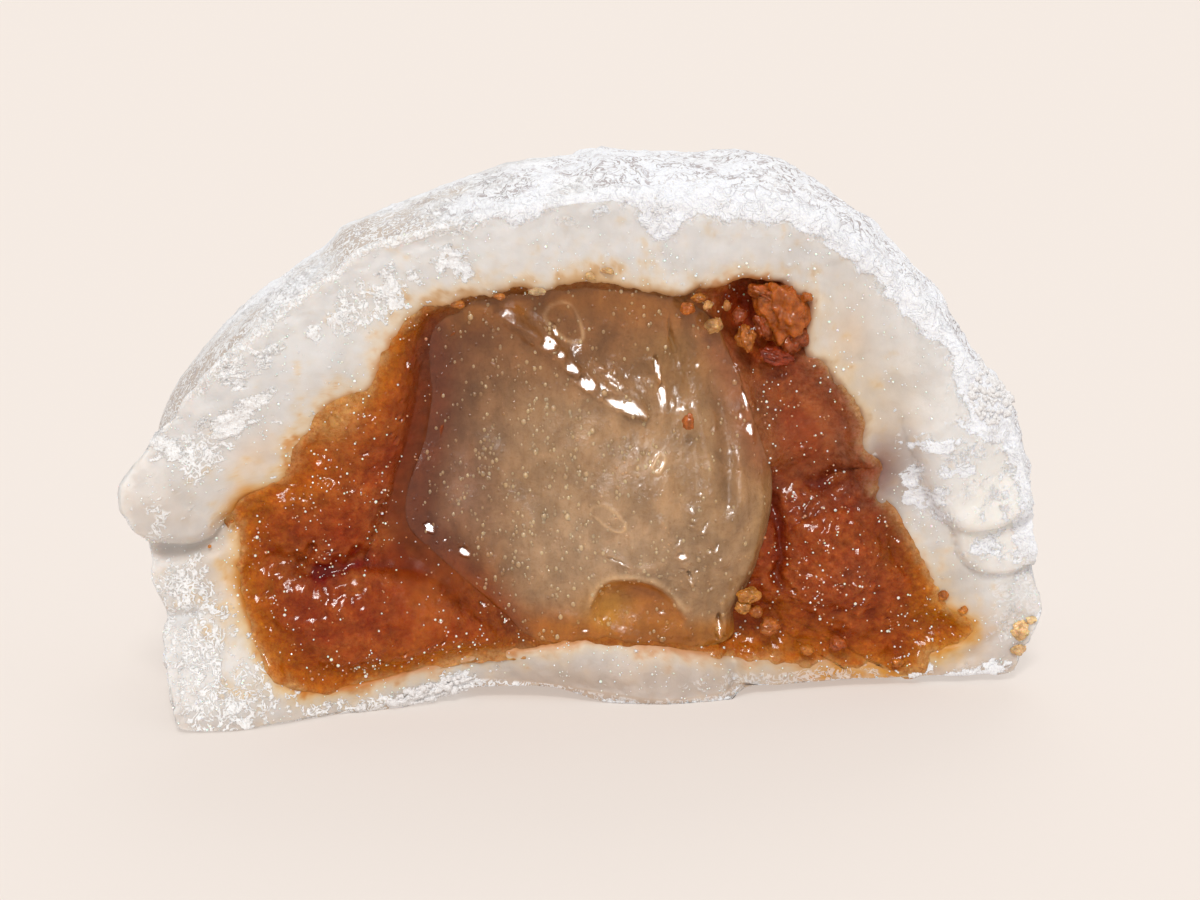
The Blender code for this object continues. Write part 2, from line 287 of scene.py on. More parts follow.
def solid_of(first_tip, rings, last_tip):
    """Points and outward triangles of a stack of rings. A ring may have half the points of its neighbour."""
    points, faces, starts = [np.array([first_tip])], [], []
    total = 1
    for one in rings:
        starts.append(total)
        points.append(one)
        total += len(one)
    points.append(np.array([last_tip]))

    def fan(tip_index, start, count):
        i = np.arange(count)
        faces.append(np.column_stack([np.full(count, tip_index), start + i, start + (i + 1) % count]))

    fan(0, starts[0], len(rings[0]))
    for (one, start), (other, next_start) in zip(zip(rings, starts), zip(rings[1:], starts[1:])):
        i = np.arange(min(len(one), len(other)))
        count = len(i)
        after = (i + 1) % count
        if len(one) == len(other):
            faces.append(np.column_stack([start + i, next_start + i, start + after]))
            faces.append(np.column_stack([start + after, next_start + i, next_start + after]))
        elif len(one) == 2 * count:
            middle, end = start + 2 * i + 1, start + (2 * i + 2) % (2 * count)
            faces.append(np.column_stack([start + 2 * i, next_start + i, middle]))
            faces.append(np.column_stack([middle, next_start + after, end]))
            faces.append(np.column_stack([middle, next_start + i, next_start + after]))
        else:
            middle, end = next_start + 2 * i + 1, next_start + (2 * i + 2) % (2 * count)
            faces.append(np.column_stack([start + i, next_start + 2 * i, middle]))
            faces.append(np.column_stack([start + after, middle, end]))
            faces.append(np.column_stack([start + i, middle, start + after]))
    fan(total, starts[-1], len(rings[-1]))
    faces[-1] = faces[-1][:, ::-1]
    points, faces = np.vstack(points), np.vstack(faces)
    a, b, c = (points[faces[:, k], :3] for k in range(3))
    if np.sum(a * np.cross(b, c)) < 0:
        faces = faces[:, ::-1]
    return points, faces


def add_piece(name, points, faces, material, node=None, colours=None, values=None):
    """Makes a smooth mesh piece that rides on the root. colours and values are attributes of its points."""
    mesh = bpy.data.meshes.new(name)
    mesh.vertices.add(len(points))
    mesh.vertices.foreach_set("co", place(points).astype(np.float32).ravel())
    mesh.loops.add(faces.size)
    mesh.loops.foreach_set("vertex_index", faces.astype(np.int32).ravel())
    mesh.polygons.add(len(faces))
    mesh.polygons.foreach_set("loop_start", np.arange(0, faces.size, 3, dtype=np.int32))
    mesh.update(calc_edges=True)
    mesh.shade_smooth()
    for key, given in (colours or {}).items():
        layer = mesh.attributes.new(key, "FLOAT_COLOR", "POINT")
        layer.data.foreach_set("color", np.column_stack([given, np.ones(len(given))]).astype(np.float32).ravel())
    for key, given in (values or {}).items():
        layer = mesh.attributes.new(key, "FLOAT", "POINT")
        layer.data.foreach_set("value", np.asarray(given, np.float32))
    mesh.materials.append(material)
    piece = bpy.data.objects.new(name, mesh)
    bpy.context.scene.collection.objects.link(piece)
    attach(piece, "root")
    if node:
        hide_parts(node)
    return piece


def linear(r, g, b):
    """Linear colour from usual 0 to 255 values."""
    share = np.array((r, g, b)) / 255
    return np.where(share <= 0.04045, share / 12.92, ((share + 0.055) / 1.055) ** 2.4)


def mixed(colour, other, amount):
    """Blends point colours towards another colour by an amount for each point."""
    amount = np.clip(amount, 0, 1)[:, None]
    return colour * (1 - amount) + other * amount


# ---------------------------------------------------------------- rice dough

AROUND = 960

SKIN_SWELLS = (
    (-22.0, -1.0, 8.5, 6.0, 3.6),  # heel at the lower left
    (-24.4, 13.4, 2.7, 2.5, 1.7),  # lobe that hangs over the left side
    (-16.0, 21.0, 8.0, 3.5, 0.7),  # thick shoulder at the upper left
    (5.0, 0.0, 5.5, 2.4, 1.7),  # sagging middle of the floor
    (-5.0, 1.0, 3.0, 2.0, -0.6),  # arched part of the floor
    (22.0, 15.0, 4.5, 4.6, 1.3),  # swelling above the right folds
    (19.3, 11.8, 2.0, 3.2, -1.0),  # hollow beside the folds
    (12.0, 28.6, 8.0, 2.6, 0.5),  # brow at the upper right
)
SKIN_CREASES = (
    # path, width, depth
    (((-28.0, 11.2), (-26.2, 10.9), (-24.6, 10.4), (-23.0, 10.1), (-21.4, 10.5), (-20.4, 11.6)), 0.6, 0.9),
    (((-26.0, 6.9), (-24.8, 6.5), (-23.6, 6.1), (-22.4, 6.3)), 0.5, 0.6),
    (((4.8, 28.0), (5.0, 26.8), (5.6, 25.6)), 0.6, 0.3),
    (((-13.8, 26.0), (-11.6, 27.0), (-9.0, 27.7), (-6.4, 28.3)), 0.4, 0.09),
    (((8.9, 2.2), (9.2, 1.4), (9.1, 0.4)), 0.5, 0.5),
    (((-20.6, 2.2), (-17.0, 0.9), (-12.0, 0.9)), 0.6, 0.22),
    (((-20.8, 4.4), (-21.6, 6.2), (-21.4, 8.6)), 0.8, 0.25),
    (((22.6, 1.4), (24.6, 2.6), (26.2, 4.2)), 0.6, 0.3),
)
SKIN_LIPS = (
    # path with the lip on its left, rise, roll, reach
    (((18.4, 18.0), (19.2, 15.6), (19.9, 13.4), (20.6, 11.7), (21.6, 10.3), (23.2, 9.75), (25.0, 9.9), (28.0, 10.7), (31.0, 11.6)), 0.85, 0.8, 4.2),
    (((21.6, 11.6), (22.1, 9.8), (22.5, 8.2), (23.2, 7.25), (24.4, 6.8), (25.8, 6.9), (28.5, 8.0), (31.0, 9.4)), 0.7, 0.5, 2.4),
    (((-30.0, 12.6), (-27.5, 11.6), (-25.8, 10.9), (-24.0, 10.5), (-22.2, 10.4), (-20.6, 11.5), (-19.8, 13.4)), 0.6, 0.9, 2.6),
)
DUST_LINE = (
    (-28.0, 14.6), (-26.0, 16.0), (-24.6, 16.9), (-23.4, 18.0), (-22.0, 19.2), (-20.4, 20.7), (-18.4, 22.4),
    (-16.3, 24.1), (-14.5, 25.5), (-12.8, 26.8), (-11.0, 27.5), (-9.0, 28.0), (-6.4, 28.6), (-4.2, 28.9),
    (-2.8, 29.0), (-1.2, 29.8), (0.4, 30.2), (2.0, 30.0), (3.0, 29.4), (3.8, 28.4), (4.8, 27.5), (5.6, 28.1),
    (6.4, 28.6), (8.2, 28.7), (10.4, 28.6), (12.2, 28.3), (13.8, 27.7), (15.2, 26.4), (16.8, 25.0),
    (18.8, 22.9), (20.4, 21.2), (21.6, 20.0), (22.2, 18.2), (22.8, 16.4), (24.6, 14.6), (25.8, 12.4),
    (26.4, 9.8), (28.5, 8.6),
)
DUST_PATCHES = (
    # x, z, half width, half height, tilt, amount
    (-24.3, 16.8, 1.1, 0.5, -25, 0.9), (-23.6, 16.2, 0.7, 0.5, 0, 0.7), (-20.2, 17.5, 1.3, 0.75, 5, 0.95),
    (-19.0, 18.7, 1.1, 0.5, 35, 0.8), (-20.0, 20.6, 0.6, 1.0, 0, 0.75), (-18.0, 21.6, 0.8, 0.5, 40, 0.55),
    (-10.9, 25.1, 0.55, 0.85, 5, 1.0), (-7.4, 26.9, 0.9, 0.5, 5, 0.9), (-6.6, 26.2, 0.45, 0.6, 20, 0.8),
    (-13.6, 23.8, 0.55, 0.3, 30, 0.8), (-15.4, 22.8, 0.35, 0.3, 0, 0.75), (-9.5, 25.9, 0.5, 0.25, -30, 0.5),
    (-13.2, 24.9, 0.5, 0.3, 30, 0.5), (-23.8, 8.4, 0.9, 1.0, 0, 0.36), (-21.2, 6.6, 0.9, 0.4, -20, 0.5),
    (-22.3, 4.6, 1.5, 2.1, 0, 0.33), (-20.2, 1.4, 0.55, 0.4, 10, 0.6), (-20.0, 0.5, 0.7, 0.35, -20, 0.55),
    (-17.0, -0.6, 5.5, 0.7, 2, 0.42), (-9.0, 0.6, 2.2, 0.6, 12, 0.9), (-7.2, 1.1, 1.0, 0.7, 0, 0.85),
    (-24.4, 12.2, 0.7, 1.2, 0, 0.15), (20.9, 15.3, 1.5, 0.45, 3, 0.75), (24.2, 17.6, 1.8, 2.6, 20, 0.62),
    (26.2, 14.0, 1.3, 3.4, 0, 0.6), (22.0, 13.6, 0.9, 0.5, 15, 0.8), (19.6, 12.9, 0.4, 0.9, 0, 1.0),
    (19.9, 11.6, 0.6, 0.7, 0, 1.0), (20.9, 11.9, 0.5, 0.9, -30, 0.7), (21.3, 10.7, 0.6, 0.5, 0, 0.6),
    (22.4, 14.7, 1.2, 0.6, 0, 0.5), (24.2, 8.6, 1.3, 0.7, -8, 0.7), (26.4, 9.6, 0.8, 2.8, 0, 0.75),
    (24.0, 11.6, 1.6, 0.6, 40, 0.35), (23.6, 0.6, 1.4, 0.3, 3, 0.8), (24.8, 0.9, 0.7, 0.5, 0, 0.7),
    (20.6, 1.0, 0.5, 0.35, 0, 0.7), (1.2, 29.4, 0.5, 0.35, 0, 0.5), (-0.6, 28.9, 0.8, 0.3, 0, 0.35),
    (-20.6, 1.6, 3.0, 1.8, 0, 0.22), (-12.0, 0.2, 5.0, 0.6, 0, 0.3), (-23.0, 7.8, 1.5, 1.5, 0, 0.25),
    (12.5, 0.8, 5.0, 0.5, 0, 0.2), (26.0, 5.0, 1.4, 2.6, 0, 0.25), (18.6, 26.0, 1.4, 1.6, 40, 0.3),
    (-21.8, 16.0, 1.4, 1.2, 20, 0.3), (-12.0, 24.4, 2.0, 1.2, 30, 0.22), (22.6, 12.4, 1.4, 0.5, 30, 0.3),
)


def near_outline(xz, path):
    """Distance of each point from the closed path."""
    return from_path(xz, path, closed=True)[0]


def skin_depth(xz):
    """Depth of the dough's cut face behind the cut plane."""
    depth = np.zeros(xz.shape[:-1])
    for x, z, half_width, half_height, rise in SKIN_SWELLS:
        depth -= rise * blob(xz, x, z, half_width, half_height)
    for path, rise, roll, reach in SKIN_LIPS:
        depth -= scarp(xz, path, rise, roll, reach)
    for path, width, deep in SKIN_CREASES:
        depth += deep * stroke(xz, path, width)
    return depth


def floor_lift(points):
    """How far the underside stands off the table just behind the cut."""
    x, depth = points[:, 0], points[:, 1]
    reach = np.clip(1 - np.maximum(depth, -1) / 5.5, 0, 1.3) ** 1.5
    arch = 0.95 * np.exp(-(((x + 4.2) / 4.4) ** 4))
    step = 0.55 * smooth(x, 8.8, 9.6) * (1 - smooth(x, 24.2, 25.6))
    return (arch + step) * reach


def rest_on_floor(points, blend=0.55):
    """Flattens what is below the floor and rounds the rest into it."""
    lift = floor_lift(points)
    height = points[:, 2] - lift
    rounded = np.where(height < -blend, 0, np.where(height < blend, (height + blend) ** 2 / (4 * blend), height))
    points[:, 2] = rounded + lift


def depths_of(outlines, relief):
    """The relief's depth along each of these outlines, worked out in one go."""
    depth = relief(np.vstack(outlines))
    return np.split(depth, np.cumsum([len(one) for one in outlines])[:-1])


def tagged(outline, depth, tag):
    """A ring with one more column, which says which part of the surface it is on."""
    return np.column_stack([ring(outline, depth), np.broadcast_to(tag, len(outline))])


def drawn_in(outline, depth, mouth, end, axis):
    share = np.clip((depth - mouth) / (end - mouth), 0, 1) * np.ones(len(outline))
    return axis + (outline - axis) * np.sqrt(1 - share**2)[:, None]


def settle(points, faces, rounds=1, amount=0.5, keep=None):
    """Each point moved part of the way to its neighbours' mean."""
    for _ in range(rounds):
        total = np.zeros_like(points)
        count = np.zeros(len(points))
        for a, b in ((0, 1), (1, 2), (2, 0)):
            for one, other in ((a, b), (b, a)):
                for axis in range(points.shape[1]):
                    total[:, axis] += np.bincount(faces[:, one], points[faces[:, other], axis], len(points))
                count += np.bincount(faces[:, one], minlength=len(points))
        step = (total / np.maximum(count, 1)[:, None] - points) * amount
        points = points + (step if keep is None else step * keep[:, None])
    return points


def hollowness(points, faces, rounds):
    """How deep each point lies in a hollow of the surface, in millimetres; crests are negative."""
    even = settle(points, faces, rounds, 0.9)
    return np.sum((even - points) * normals_of(points, faces), axis=1)


def build_dough():
    angles = even_angles(CUT, AROUND)
    coarse = angles[::2]
    rings = []
    for turn in np.radians(np.concatenate([np.linspace(88.0, 30, 26), np.linspace(28, 1.2, 24)])):
        outline = DOME_AXIS + (at_angles(GIRTH, coarse) - DOME_AXIS) * math.cos(turn)
        rings.append(tagged(outline, GIRTH_DEPTH + (BACK_DEPTH - GIRTH_DEPTH) * math.sin(turn), 0.0))
    girth, cut = at_angles(GIRTH, angles), at_angles(CUT, angles)
    edge_depth = skin_depth(cut)
    for turn in np.linspace(0, math.pi / 2, 27)[:-1]:
        across, along = math.cos(turn) ** 0.85, math.sin(turn) ** 0.9
        outline = cut + (girth - cut) * across
        rings.append(tagged(outline, GIRTH_DEPTH + (edge_depth - GIRTH_DEPTH) * along, along))
    opening = at_angles(FILLING, angles)
    torn = smooth(opening[:, 0], -9.5, -8.0) * (1 - smooth(opening[:, 0], -1.6, 0.2)) * smooth(opening[:, 1], 18, 21)
    ragged = 0.2 * layered(ring(opening, 0.0), 1.2, 4, 40) + 0.22 * torn * layered(ring(opening, 0.0), 0.7, 2, 46)
    outward = (opening - RING_CENTRE) / np.linalg.norm(opening - RING_CENTRE, axis=1)[:, None]
    opening = opening + outward * ragged[:, None]
    width = np.linalg.norm(opening - cut, axis=1)
    rim_drop = 0.18 + 0.25 * blob(opening, 11.0, 23.5, 3.0, 2.5)
    shares = np.linspace(0, 1, 41)
    across = [cut + (opening - cut) * share for share in shares]
    for share, outline, depth in zip(shares, across, depths_of(across, skin_depth)):
        lip = np.clip(1 - (1 - share) * width / 0.7, 0, 1) ** 2 * rim_drop
        rings.append(tagged(outline, depth + lip, 1 + share))
    rim = rings[-1][:, 1]
    for step in (0.05, 0.3, 0.7, 1.4):
        rings.append(tagged(opening + outward * 0.08 * step, rim + step, 2.1 + step / 10))
    wide, mouth = opening[::2], rim[::2] + 1.4
    for turn in np.linspace(0.15, math.pi / 2, 9)[:-1]:
        depth = mouth + (22.5 - mouth) * math.sin(turn)
        rings.append(tagged(drawn_in(wide, depth, 0, 22.5, RING_CENTRE), depth, 3.0))
    points, faces = solid_of((*np.insert(DOME_AXIS, 1, BACK_DEPTH), 0.0), rings, (*np.insert(RING_CENTRE, 1, 22.5), 3.0))
    return points[:, :3].copy(), faces, points[:, 3]


def dust_on(points, zone):
    """How much starch covers each point, from 0 to 1."""
    xz = points[:, [0, 2]]
    ragged = 0.45 * layered(points, 1.1, 3, 60)
    jagged = layered(points, 0.7, 3, 61, 0.7)
    distance, side, _ = from_path(xz, DUST_LINE)
    beyond = np.where(zone < 1, 1.5, side * distance)
    amount = smooth(beyond + ragged, -0.35, 0.45)
    outside = 1 - smooth(zone, 0.75, 1.05)
    # Low down and at the left of the front the coat is thin and broken.
    broad = layered(points, 7.0, 4, 63)
    low = smooth(points[:, 2] + 5.0 * broad, 1.0, 10.0)
    front = 1 - smooth(points[:, 1] + 9.0 * broad, 2.0, 19.0)
    thick = smooth(points[:, 0] + 4.0 * broad, -12.0, 1.0) * front + 0.72 * (1 - front)
    thick = np.clip(thick * (0.65 + 0.35 * low) + outside * 0.3 * broad, 0, 1)
    amount = amount * (1 - outside) + outside
    amount = amount * (0.32 + 0.66 * thick)
    # The underside just above the floor at the front: it gets no starch here, and painted tan shadow later.
    under = smooth(zone, 0.1, 0.4) * (1 - smooth(zone, 0.9, 1.05)) * (1 - smooth(points[:, 2], 0.8, 1.8)) * smooth(points[:, 0], -8, -6) * (1 - smooth(points[:, 0], 18, 22))
    amount *= 1 - under
    for x, z, half_width, half_height, tilt, level in DUST_PATCHES:
        patch = blob(xz, x, z, half_width * 1.3, half_height * 1.3, tilt) + 0.5 * jagged
        amount = np.maximum(amount, (0.1 + 0.9 * level) * smooth(patch, 0.28, 0.8) * smooth(zone, 0.6, 0.95))
    rear = smooth(points[:, 1] + 9.0 * broad, 0.0, 17.0)
    return np.where(zone > 2.02, 0, np.clip(amount, 0, 1)), thick, under, rear


def make_dough():
    points, faces, zone = build_dough()
    outer = zone < 2.05
    lowered = points.copy()
    rest_on_floor(lowered)
    points = np.where(outer[:, None], lowered, points)
    normals = normals_of(points, faces)
    outside = 1 - smooth(zone, 0.7, 1.0)
    on_face = smooth(zone, 0.8, 1.1) * (1 - smooth(zone, 1.9, 2.02))
    off_floor = smooth(points[:, 2] - floor_lift(points), 0.0, 1.2)
    dust, thick, under, rear = dust_on(points, zone)
    xz = points[:, [0, 2]]

    calm = 1 - 0.45 * smooth(points[:, 1], 4.0, 10.0)
    swell = (0.5 * layered(points, 10.0, 2, 1) + 0.24 * layered(points, 3.2, 2, 5)) * calm
    slim = 0.2 + 0.85 * blob(xz, -18.0, 23.0, 9.0, 6.5) + 0.5 * blob(xz, -25.0, 8.0, 2.0, 3.5)
    slim += 0.45 * blob(xz, -9.0, 28.5, 7.0, 3.0) + 0.45 * blob(xz, -25.0, 3.0, 2.0, 3.5) - 0.45 * blob(xz, -26.3, 14.6, 1.8, 1.8)
    push = outside * off_floor * (swell - slim)
    push += on_face * (0.14 * layered(points, 5.0, 3, 9) + 0.05 * layered(points, 1.4, 3, 13))
    push += on_face * off_floor * 0.05 * smooth(dust, 0.15, 0.4) * layered(points, 0.5, 2, 29)
    near_rim = smooth(zone, 0.35, 0.8) * (1 - smooth(zone, 1.05, 1.35))
    push += near_rim * off_floor * (0.16 * layered(points, 1.5, 3, 15))
    warped = points + 0.3 * noise(points, 1.1, 17)[:, None]
    worms = ridged(warped, 0.95, 2, 19)
    pits, _ = cells(points, 0.85, 25)
    rough = smooth(dust, 0.3, 0.75) * (1 - smooth(zone, 1.3, 1.5) * 0.6) * off_floor
    left = 1 - smooth(points[:, 0], -8, 2)
    push += rough * (0.36 * left + 0.08) * (worms - 0.55) * calm**2
    push += rough * (1 - left) * (0.06 * (0.6 - pits) + 0.14 * layered(points, 1.6, 3, 21))
    push += rough * 0.08 * layered(points, 0.45, 2, 23)
    patchy = smooth(dust, 0.3, 0.8) * smooth(zone, 1.0, 1.1)
    push += patchy * (0.03 + 0.05 * noise(points, 0.35, 27)) * off_floor
    push *= 1 - smooth(zone, 2.0, 2.1)
    points = points + normals * push[:, None]
    points[:, 2] = np.maximum(points[:, 2], 0)

    xz = points[:, [0, 2]]
    edge = near_outline(xz, FILLING)
    wander = layered(points, 1.6, 3, 70)
    tint = np.tile(linear(222, 219, 217), (len(points), 1))
    tint = mixed(tint, linear(214, 204, 192), 0.6 * smooth(xz[:, 0], 12, 17) * smooth(xz[:, 1], 14, 18) * np.exp(-((edge / 4.5) ** 2)))
    # Darker towards the foot of the face: partly the dough's greyer tone there, partly painted shade.
    low = np.exp(-(((xz[:, 1] - 0.6) / 2.2) ** 2)) * smooth(xz[:, 0], -8, -3) * (1 - smooth(zone, 1.98, 2.02))
    tint = mixed(tint, linear(192, 178, 168), 0.8 * low)
    # Painted shade under the left lobe.
    tint = mixed(tint, linear(196, 184, 172), 0.5 * blob(xz, -22.2, 9.2, 2.2, 1.6))
    # More painted shade along the foot at the left.
    tint = mixed(tint, linear(186, 172, 160), 0.7 * np.exp(-(((xz[:, 1] + 0.4) / 1.6) ** 2)) * (1 - smooth(xz[:, 0], -9, -5)))
    tint = mixed(tint, linear(160, 138, 132), 0.8 * blob(xz, 18.4, 13.4, 1.5, 3.0))
    tint = mixed(tint, linear(198, 180, 160), 0.7 * blob(xz, 17.5, 17.8, 2.6, 2.6))
    # Painted shade below the right folds.
    tint = mixed(tint, linear(184, 172, 162), 0.8 * blob(xz, 22.2, 6.6, 1.8, 3.2))
    halo = 0.45 + 0.5 * blob(xz, -17.5, 8.0, 5.0, 9.0) + 0.6 * blob(xz, 21.0, 2.4, 4.4, 2.0)
    halo *= 1 - 0.6 * blob(xz, 18.0, 11.5, 2.0, 5.0)
    spread = edge * np.clip(1 - 0.7 * wander - 0.5 * layered(points, 0.7, 3, 72, 0.6), 0.25, 2.2)
    stain = stain_tint(xz)
    tint = mixed(tint, linear(212, 190, 158), halo * np.exp(-((spread / 2.0) ** 2)) * 0.6)
    tint = mixed(tint, linear(220, 184, 122), np.clip(halo * 1.3, 0, 1) * np.exp(-((spread / 0.85) ** 2)))
    tint = mixed(tint, stain, np.clip(0.35 + halo, 0, 1) * np.exp(-((spread / 0.36) ** 2)))
    tint = mixed(tint, linear(208, 197, 187), 0.8 * blob(xz, -24.5, 13.2, 2.6, 2.6))
    tint = mixed(tint, linear(212, 176, 136), 0.5 * blob(xz, -18.6, 15.6, 1.8, 1.3, 40) + 0.3 * blob(xz, -20.8, 8.6, 1.0, 3.0))
    tint = mixed(tint, linear(242, 239, 234), 0.95 * blob(xz, 24.5, 11.2, 3.0, 4.0))
    # Painted shade along the foot in the middle.
    tint = mixed(tint, linear(178, 158, 142), 0.8 * blob(xz, 2.0, 1.4, 7.0, 1.1))
    tint = mixed(tint, linear(132, 92, 86), 0.85 * blob(xz, 17.7, 13.4, 0.9, 1.9))
    # Painted tan shadow on the underside just above the floor.
    tint = mixed(tint, linear(190, 152, 112), 0.8 * under)
    blotches = 0.7 * blob(xz, -20.0, 12.4, 0.6, 0.9) + 0.6 * blob(xz, -19.9, 8.4, 0.6, 1.2) + 0.5 * blob(xz, -19.3, 13.6, 0.6, 0.4)
    tint = mixed(tint, linear(198, 132, 50), blotches)
    tint = mixed(tint, linear(202, 140, 56), (0.7 * blob(xz, 22.6, 3.2, 1.9, 1.4) + 0.9 * blob(xz, 18.4, 0.9, 2.6, 0.7) + 0.85 * blob(xz, 14.6, 1.0, 2.2, 0.6)) * (0.8 + 0.6 * layered(points, 0.9, 3, 79, 0.7)))
    tint = mixed(tint, linear(206, 164, 112), 0.7 * blob(xz, 0.8, 25.5, 1.6, 0.6) + 0.4 * blob(xz, 15.8, 21.6, 1.2, 2.0))
    tint = mixed(tint, linear(205, 180, 150), 0.5 * blob(xz, 12.6, 2.2, 2.4, 0.6))
    tint = np.where((zone > 2.03)[:, None], stain * 0.7, tint)
    tint *= (1 + 0.05 * layered(points, 0.9, 3, 74) + 0.03 * wander)[:, None]
    add_piece(
        "mochi_dough", points, faces, dough_looks(), "mochi_skin",
        {"tint": np.clip(tint, 0, 1)}, {"dust": dust, "thick": thick, "outside": outside, "rear": rear},
    )
    return points, faces, zone, dust


# ---------------------------------------------------------------- bean paste

PASTE_AROUND = 840

PASTE_SWELLS = (
    (-13.0, 4.5, 7.0, 3.6, 2.6),  # lower left lobe
    (-3.5, 4.2, 3.0, 1.6, 0.8),  # its pointed end
    (-15.0, 12.5, 4.0, 3.2, 1.1),  # upper left lobe
    (-12.4, 18.0, 2.6, 3.6, 0.8),  # arm that reaches up the left side
    (-9.2, 10.2, 2.0, 2.4, -1.3),  # wet corner beside the core
    (15.2, 7.0, 4.6, 4.0, 1.7),  # lower right lobe
    (14.6, 12.8, 4.4, 1.4, -0.7),  # hollow above it
    (10.8, 22.6, 2.4, 2.5, -1.9),  # pit at the upper right
)
PASTE_CREASES = (
    (((-17.8, 9.3), (-16.6, 9.0), (-15.0, 8.7), (-13.6, 8.9), (-12.8, 9.4)), 0.6, 0.45),
    (((-16.2, 8.7), (-15.8, 9.5), (-15.6, 10.2)), 0.3, 0.35),
    (((13.8, 12.3), (14.8, 12.5), (16.2, 13.2), (17.4, 13.9)), 0.5, 0.4),
    (((11.4, 11.6), (11.8, 9.8), (12.0, 8.2), (11.6, 6.8)), 0.45, 0.6),
    (((17.3, 12.4), (17.8, 10.2), (19.0, 8.2), (20.4, 6.0)), 0.5, 0.45),
    (((-19.0, 5.8), (-16.4, 5.0), (-13.0, 5.4), (-10.0, 5.0)), 0.5, 0.2),
)
PASTE_LIPS = (
    (((-1.6, 1.6), (-2.6, 3.4), (-3.4, 4.7), (-5.5, 6.1), (-8.0, 7.4), (-10.4, 8.3), (-13.0, 8.6), (-15.4, 8.2), (-18.6, 8.8), (-21.0, 9.0)), 0.5, 0.9, 3.2),
    (((-13.0, 7.0), (-12.4, 9.6), (-11.2, 12.4), (-9.9, 16.4), (-9.0, 20.4), (-7.6, 24.0)), 0.75, 1.9, 4.4),
    (((19.4, 12.0), (17.4, 11.4), (15.4, 10.9), (13.4, 10.5), (11.6, 9.4)), 0.35, 0.8, 2.4),
)


def seam_tint(xz):
    """The colour that paste and jelly share where they run into each other."""
    x, z = xz[:, 0], xz[:, 1]
    tint = np.tile(linear(112, 54, 26), (len(xz), 1))
    tint = mixed(tint, linear(146, 70, 16), blob(xz, -6.0, 6.4, 3.0, 2.4))
    tint = mixed(tint, linear(166, 98, 30), smooth(x, -4.5, -1.5) * (1 - smooth(z, 5, 8)))
    tint = mixed(tint, linear(150, 92, 54), smooth(x, 5.0, 8.0) * smooth(z, 8.0, 12.0))
    return mixed(tint, linear(144, 90, 40), smooth(z, 20.5, 22.5) * smooth(x, -8.5, -6.5))


def stain_tint(xz):
    """The colour that paste and dough share at the edge of the filling."""
    x, z = xz[:, 0], xz[:, 1]
    tint = np.tile(linear(188, 108, 8), (len(xz), 1))
    tint = mixed(tint, linear(198, 128, 10), blob(xz, 22.0, 3.4, 3.4, 2.6))
    tint = mixed(tint, linear(180, 124, 66), smooth(z, 22.5, 24.0) * (1 - smooth(x, 6.5, 8.0)))
    tint = mixed(tint, linear(152, 98, 72), smooth(x, 11.5, 13.0) * smooth(z, 9.5, 12.0))
    return mixed(tint, linear(124, 66, 54), blob(xz, 17.4, 13.0, 1.6, 2.6))


def jelly_lip(xz):
    """1 along the stretch where the jelly's edge stands proud of the paste."""
    return smooth(xz[..., 0], 5.5, 8.0) * (1 - smooth(xz[..., 1], 12.5, 15.0))


def paste_relief(xz):
    depth = np.full(xz.shape[:-1], 0.75)
    for x, z, half_width, half_height, rise in PASTE_SWELLS:
        depth -= rise * blob(xz, x, z, half_width, half_height)
    for path, rise, roll, reach in PASTE_LIPS:
        depth -= scarp(xz, path, rise, roll, reach)
    for path, width, deep in PASTE_CREASES:
        depth += deep * stroke(xz, path, width)
    # At its edge the paste is almost flush with the dough that it stains.
    pit = np.clip(1.6 * blob(xz, 10.8, 22.9, 2.6, 2.6), 0, 1)
    flush = np.exp(-((near_outline(xz, FILLING) / 0.9) ** 2)) * (1 - pit)
    depth = depth * (1 - flush) + (skin_depth(xz) + 0.03) * flush
    # Except under the jelly's right lip, it runs smoothly into the jelly.
    inside = inside_of(xz, CORE)
    join = np.exp(-((inside / 1.2) ** 2)) * (1 - jelly_lip(xz)) * (1 - pit)
    return depth * (1 - join) + (jelly_relief(xz) + 0.35 * smooth(inside, -0.3, 0.5)) * join


